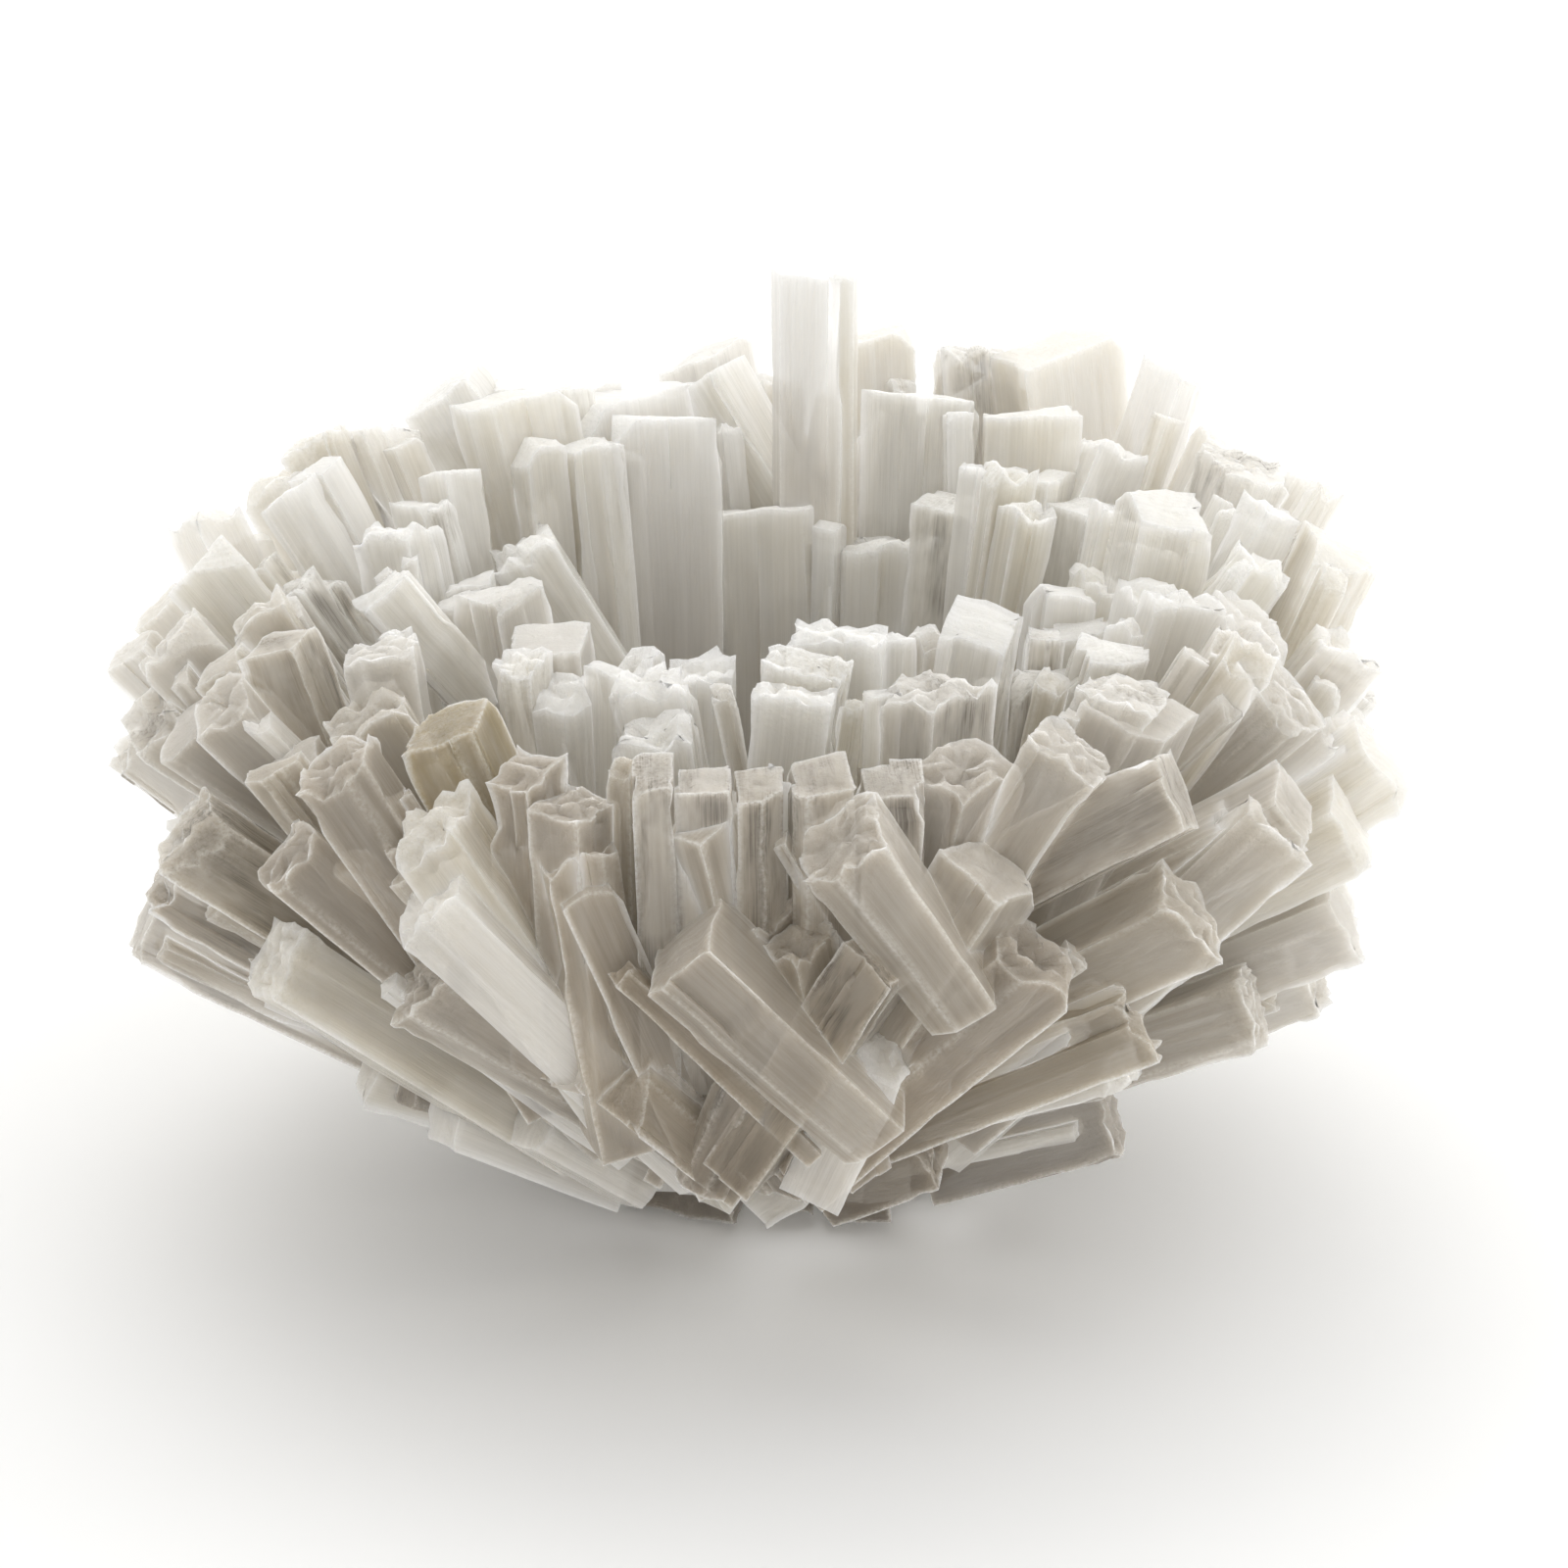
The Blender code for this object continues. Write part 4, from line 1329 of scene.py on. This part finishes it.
LAYERS = (
    # Clear fibres let the eye into the stick, and so look greyer than the milky ones beside them.
    Layer("glassy", ("clear",), (Span("bands", 0.35, 0.65),)),
    # No two sticks are equally white, and fine grey lines run along all of them.
    Layer("glassy", (), (Span("tone", 0.0, 1.0, 0.0, 0.5),), "MULTIPLY"),
    Layer(
        "glassy", (), (Span("lines", 0.42, 0.72, 0.0, 0.8), Span("clouds", 0.35, 0.65, 0.0, 0.4)), "MULTIPLY"
    ),
    # Single threads catch air and stay white.
    Layer("milky", (), (Span("threads", 0.55, 0.75, 0.0, 0.35),)),
    Layer("cream", ("cream",), (Span("clouds", 0.3, 0.6, 0.4, 1.0),)),
    # Red-brown clay from the bed lies in the splits between fibres, as fine dark streaks.
    Layer("clay", ("stain",), (Span("clouds", 0.42, 0.60), Span("threads", 0.38, 0.62, 0.35, 1.0))),
    # Crushed ends scatter all light, like sugar.
    Layer("sugar", ("broken",), (Span("grains", 0.30, 0.60, 0.0, 0.6),)),
    # Painted shade: stone to the front, the left, the foot and deep between the sticks is darkened and
    # warmed, more so at the foot, where a clay-coloured painted shadow is laid over it as well.
    Layer("shade", ("painted_shade",), (), "MULTIPLY"),
    # Painted shadow at the foot: stone below 100 mm is darkened again, and clay colour is laid over it.
    Layer("shade", ("painted_shade",), (Span("height", 0.02, 0.10, 1.1, 0.0),), "MULTIPLY"),
    Layer("clay", ("painted_shade",), (Span("height", 0.02, 0.10, 0.495, 0.0),)),
    # The edges are knocked to powder, and so are thin pale lines, which also stand in for light caught on
    # the edges: partly a painted highlight.
    Layer("sugar", ("edge", "edge"), (Span("grains", 0.35, 0.65, 0.05, 0.4),)),
    # Inclusions: grains of clay that the fibres grew round, drawn out along them.
    Layer("clay", ("stain",), (Span("specks", 0.60, 0.74, 0.0, 0.8), Span("clouds", 0.45, 0.6))),
)


@dataclass(frozen=True)
class SatinSpar:
    """The finish of raw satin spar: silky fibres along each stick, and sugary broken ends.

    Lengths are in millimetres and colours in sRGB hex.
    """

    name: str
    milky: str
    glassy: str
    shade: str
    cream: str
    clay: str
    sugar: str
    # What colour light has after a stick, how much of it comes through one, and how much of what lies
    # behind it the eye still sees.
    glow: str = "#FDFBF7"
    passed_light: float = 0.65
    see_through: float = 0.24
    depth_glow: float = 13.0
    # How fast the painted shade deepens to the left, to the front and to the foot, against one another.
    painted_shade_slope: tuple[float, float, float] = (0.25, 1.0, 0.6)
    # Heights (mm) of the relief of threads and bands on the sides, and of grains on the ends.
    thread_relief: float = 0.12
    band_relief: float = 0.08
    grain_relief: float = 0.8

    def material(self) -> bpy.types.Material:
        """Makes the material.

        Returns:
            The material, which reads the values that each stick's points carry.
        """
        material = bpy.data.materials.new(self.name)
        material.use_nodes = True
        tree = material.node_tree
        tree.nodes.clear()
        add = partial(add_node, tree)
        stone = self._stone(add)
        shader = add(
            "ShaderNodeBsdfPrincipled",
            {
                "Base Color": self._colour(add, stone),
                "Roughness": self._roughness(add, stone),
                "IOR": 1.52,
                "Subsurface Weight": 1.0,
                "Subsurface Radius": (1.0, 0.98, 0.94),
                "Subsurface Scale": self.depth_glow * MM,
                "Anisotropic": add(RANGE, (stone["broken"], 0.0, 0.4, 0.7, 0.0)),
                "Tangent": add("ShaderNodeTangent", direction_type="UV_MAP", uv_map="fibre"),
                "Normal": self._relief(add, stone),
            },
        )
        # Light goes on from one stick into the next: the stone throws a weak, warm shadow, and the inner
        # side of a face throws none. The eye, too, sees dimly through, most of all by the clearer fibres.
        shadow = add("ShaderNodeLightPath", output="Is Shadow Ray")
        passed = add(MATHS, (shadow, self.passed_light), operation="MULTIPLY")
        whole = add(RANGE, (stone["broken"], 0.0, 0.6, self.see_through, 0.8 * self.see_through))
        seen = add(RANGE, (stone["bands"], 0.3, 0.7, 0.8, 1.2))
        seen = add(MATHS, (seen, whole), operation="MULTIPLY")
        passed = add(MATHS, (passed, seen), operation="MAXIMUM")
        outer = add("ShaderNodeMixShader", (passed, shader, add(THROUGH, (linear(self.glow),))))
        inner = add("ShaderNodeNewGeometry", output="Backfacing")
        surface = add("ShaderNodeMixShader", (inner, outer, add(THROUGH)))
        tree.links.new(surface, tree.nodes.new("ShaderNodeOutputMaterial").inputs["Surface"])
        return material

    def _stone(self, add: Callable[..., bpy.types.NodeSocket]) -> dict[str, bpy.types.NodeSocket]:
        """What the finish goes by: the values that points carry, the streaks, the grains and the painted
        shade.

        Args:
            add: Adds a node to the material.

        Returns:
            Every value by its name.
        """
        stone = {key: add("ShaderNodeAttribute", output="Fac", attribute_name=key) for key in CARRIED}
        fibre = add("ShaderNodeUVMap", uv_map="fibre")
        for name, streak in STREAKS.items():
            scale = (1 / (streak.across * MM), 1 / (streak.along * MM), 1.0)
            vector = add(VECTOR, (fibre, scale), operation="MULTIPLY")
            drawn = {"Vector": vector, "Scale": 1.0, "Detail": streak.detail, "Roughness": 0.6}
            stone[name] = add(NOISE, drawn, "Fac")
        place = add("ShaderNodeTexCoord", output="Object")
        grains = {"Vector": place, "Scale": 1 / (GRAIN_SIZE * MM), "Detail": 4.0, "Roughness": 0.65}
        stone["grains"] = add(NOISE, grains, "Fac")
        stone["height"] = add("ShaderNodeSeparateXYZ", (place,), "Z")
        # Painted shade: the sticks to the front, the left and the foot, and the stone far down each stick
        # between its neighbours, are tinted darker and warmer, where shade falls. Silky sticks keep most of
        # their white, as a painted sheen.
        painted_shade = add(VECTOR, (place, self.painted_shade_slope), "Value", operation="DOT_PRODUCT")
        # Painted shade by place in the bowl, with a little random tone per stick.
        painted_shade = add(MATHS, (stone["tone"], 0.04, painted_shade), operation="MULTIPLY_ADD")
        painted_shade = add(RANGE, (painted_shade, -0.12, 0.17, 0.9, 0.0))
        deep = add(MATHS, (stone["deep"], 0.5), operation="MULTIPLY")
        painted_shade = add(MATHS, (painted_shade, deep), operation="MAXIMUM")
        # Painted sheen: the silkier a stick, the less painted shade it gets.
        silky = add(MATHS, (stone["silk"], stone["silk"]), operation="MULTIPLY")
        silky = add(RANGE, (silky, 0.0, 1.0, 1.0, 0.15))
        stone["painted_shade"] = add(MATHS, (painted_shade, silky), operation="MULTIPLY")
        return stone

    def _colour(
        self, add: Callable[..., bpy.types.NodeSocket], stone: dict[str, bpy.types.NodeSocket]
    ) -> bpy.types.NodeSocket:
        """Milky stone under all of the layers.

        Args:
            add: Adds a node to the material.
            stone: What the finish goes by.

        Returns:
            The colour.
        """
        colour = linear(self.milky)
        for layer in LAYERS:
            parts = [stone[name] for name in layer.values]
            parts += [add(RANGE, (stone[s.value], s.start, s.end, s.low, s.high)) for s in layer.spans]
            strength = parts[0]
            for part in parts[1:]:
                strength = add(MATHS, (strength, part), operation="MULTIPLY")
            tint = linear(getattr(self, layer.tint))
            mixed = {0: strength, 6: colour, 7: tint}
            colour = add(MIX, mixed, 2, data_type="RGBA", blend_type=layer.blend)
        return colour

    def _roughness(
        self, add: Callable[..., bpy.types.NodeSocket], stone: dict[str, bpy.types.NodeSocket]
    ) -> bpy.types.NodeSocket:
        """Silky sides and dull ends.

        Args:
            add: Adds a node to the material.
            stone: What the finish goes by.

        Returns:
            The roughness.
        """
        sides = add(RANGE, (stone["threads"], 0.3, 0.7, 0.30, 0.52))
        sides = add(MATHS, (stone["silk"], -0.10, sides), operation="MULTIPLY_ADD")
        ends = add(RANGE, (stone["grains"], 0.3, 0.7, 0.6, 0.85))
        return add(MIX, {0: stone["broken"], 2: sides, 3: ends}, data_type="FLOAT")

    def _relief(
        self, add: Callable[..., bpy.types.NodeSocket], stone: dict[str, bpy.types.NodeSocket]
    ) -> bpy.types.NodeSocket:
        """Fibres of about a tenth of a millimetre on sides, and coarser grains on ends.

        Args:
            add: Adds a node to the material.
            stone: What the finish goes by.

        Returns:
            The normal.
        """
        bands = add(MATHS, (stone["bands"], self.band_relief), operation="MULTIPLY")
        sides = add(MATHS, (stone["threads"], self.thread_relief, bands), operation="MULTIPLY_ADD")
        ends = add(MATHS, (stone["grains"], self.grain_relief), operation="MULTIPLY")
        height = add(MIX, {0: stone["broken"], 2: sides, 3: ends}, data_type="FLOAT")
        return add("ShaderNodeBump", {"Height": height, "Strength": 1.0, "Distance": MM}, "Normal")


# Upper sticks: the lit copy of the stone, for light that passes through them from all sides.
UPPER_LIT_SPAR = SatinSpar("white_satin_spar", "#EFEEEB", "#E0DED8", "#9A8B76", "#D2C6A4", "#5A5042", "#F0EFEB")
# Lower sticks: a darker, warmer shaded copy of the same stone, painted shade for their place deeper in the
# bowl.
LOWER_SHADED_SPAR = SatinSpar("warm_satin_spar", "#ECEAE6", "#DDD9D1", "#91836F", "#CBBE98", "#494035", "#E9E6DF")


@dataclass(frozen=True)
class PaperSheet:
    """The matt white sheet that the bowl stands on."""

    colour: str = "#F4F4F3"
    size: float = 14.0

    def build(self) -> bpy.types.Object:
        """Makes the sheet just under the bowl.

        Returns:
            The sheet.
        """
        bpy.ops.mesh.primitive_plane_add(size=self.size, location=(0, 0, -0.0004))
        sheet = bpy.context.object
        sheet.name = "paper_sheet"
        material = bpy.data.materials.new("white_paper")
        material.use_nodes = True
        shader = material.node_tree.nodes["Principled BSDF"]
        shader.inputs["Base Color"].default_value = linear(self.colour)
        shader.inputs["Roughness"].default_value = 0.9
        sheet.data.materials.append(material)
        return sheet


@dataclass(frozen=True)
class SoftBox:
    """A soft square lamp, aimed at the bowl."""

    name: str
    place: tuple[float, float, float]
    size: float
    power: float
    colour: str = "#FFFFFF"

    def build(self) -> bpy.types.Object:
        """Makes the lamp.

        Returns:
            The lamp.
        """
        lamp = bpy.data.lights.new(self.name, "AREA")
        lamp.shape = "SQUARE"
        lamp.size = self.size
        lamp.energy = self.power
        lamp.color = linear(self.colour)[:3]
        holder = bpy.data.objects.new(self.name, lamp)
        holder.location = self.place
        aim = Vector((0, 0, 0.12)) - Vector(self.place)
        holder.rotation_euler = aim.to_track_quat("-Z", "Y").to_euler()
        bpy.context.scene.collection.objects.link(holder)
        return holder


@dataclass(frozen=True)
class Studio:
    """Sheet, sky, lamps and camera: light from above and behind, and a weak fill from the front."""

    # Where the room is brightest: behind the bowl and to its right.
    brightest: tuple[float, float, float] = (0.6, 0.8, 0.0)
    sky_behind: float = 1.35
    sky_before: float = 0.85
    lamps: tuple[SoftBox, ...] = (
        SoftBox("top_light", (-0.25, 0.75, 1.6), 1.0, 6.0, "#FFFDFA"),
        SoftBox("right_light", (1.5, 0.3, 0.9), 0.7, 3.0),
    )
    # The camera is this far from the middle of the bowl, and this far above its horizon.
    distance: float = 1.5
    elevation: float = 22.0
    middle: tuple[float, float, float] = (0.003, 0.0, 0.132)
    focal_pixels: float = 4710.0
    picture_pixels: float = 1600.0

    def build(self) -> None:
        """Makes all of it, and sets the scene's camera."""
        PaperSheet().build()
        for lamp in self.lamps:
            lamp.build()
        world = bpy.data.worlds.new("white_room")
        world.use_nodes = True
        tree = world.node_tree
        sky = tree.nodes["Background"]
        sky.inputs["Color"].default_value = (1.0, 1.0, 1.0, 1.0)
        direction = add_node(tree, "ShaderNodeTexCoord", output="Generated")
        towards = add_node(tree, VECTOR, (direction, self.brightest), "Value", operation="DOT_PRODUCT")
        bright = add_node(tree, RANGE, (towards, -0.8, 0.8, self.sky_before, self.sky_behind))
        tree.links.new(bright, sky.inputs["Strength"])
        bpy.context.scene.world = world
        bpy.context.scene.view_settings.view_transform = "Standard"
        camera = bpy.data.cameras.new("picture_camera")
        camera.sensor_width = 36.0
        camera.lens = self.focal_pixels / self.picture_pixels * camera.sensor_width
        camera.clip_end = 50.0
        holder = bpy.data.objects.new("picture_camera", camera)
        raised = math.radians(self.elevation)
        back = Vector((0, -math.cos(raised), math.sin(raised)))
        holder.location = Vector(self.middle) + back * self.distance
        holder.rotation_euler = (math.radians(90 - self.elevation), 0.0, 0.0)
        bpy.context.scene.collection.objects.link(holder)
        bpy.context.scene.camera = holder


@dataclass
class SparBowl:
    """The bowl: every stick and splinter, grouped as the CAD nodes are."""

    nodes: dict[str, bpy.types.Object]
    splinters: Splinters = Splinters()

    def build(self) -> list[bpy.types.Object]:
        """Makes one dressed piece for each cluster of sticks, in place of its CAD node.

        Returns:
            The pieces.
        """
        trees = {name: mesh_tree(obj) for name, obj in self.nodes.items()}
        boxes = {name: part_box(name) for name in self.nodes}
        clusters: dict[str, MeshArrays] = {}
        nearest: dict[str, list[np.ndarray]] = {}
        for ring in RINGS:
            for i, stick in enumerate(sticks_of(ring)):
                name = f"{ring.name} {i}"
                shape = StickShape(with_looks(stick, name), name)
                node = node_of(shape, trees, boxes)
                arrays = clusters.setdefault(node, MeshArrays())
                nearest.setdefault(node, []).append(shape.tip - shape.axis * 20)
                for part in (*shape.laths(), self.splinters.beside(shape)):
                    if part:
                        part.add_to(arrays)
        pieces = []
        finishes = {"white": UPPER_LIT_SPAR.material(), "warm": LOWER_SHADED_SPAR.material()}
        stands_for = {name: [name] for name in clusters}
        for name in self.nodes:
            if name not in clusters:
                stands_for[self._closest(name, boxes, nearest)].append(name)
        for name, arrays in clusters.items():
            piece = arrays.to_object(f"{name}_spar")
            ring = name.split("_cluster")[0]
            # Lower rings get the shaded copy of the stone: painted shade.
            finish = "white" if ring in ("shoulder", "rim", "mid_rim", "inner_rim") else "warm"
            piece.data.materials.append(finishes[finish])
            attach(piece, "root")
            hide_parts(*stands_for[name])
            LOG.info("%s: %d faces, for %s", piece.name, len(piece.data.polygons), stands_for[name])
            pieces.append(piece)
        return pieces

    @staticmethod
    def _closest(
        name: str, boxes: dict[str, tuple[Vector, Vector]], nearest: dict[str, list[np.ndarray]]
    ) -> str:
        """The cluster whose sticks end nearest to the middle of a node that holds no stick's tip.

        Args:
            name: The node.
            boxes: Lowest and highest corner of every node.
            nearest: Where the sticks of each cluster end, in millimetres.

        Returns:
            The cluster's name.
        """
        low, high = boxes[name]
        middle = np.array((low + high) / 2) / MM
        return min(nearest, key=lambda key: min(np.linalg.norm(place - middle) for place in nearest[key]))


def main() -> None:
    """Builds the bowl and its studio, and notes the sizes."""
    logging.basicConfig(level=logging.INFO, format="%(name)s: %(message)s")
    pieces = SparBowl(frame["nodes"]).build()
    LOG.info("%d pieces, %d faces", len(pieces), sum(len(p.data.polygons) for p in pieces))
    Studio().build()


if __name__ == "__main__":
    main()
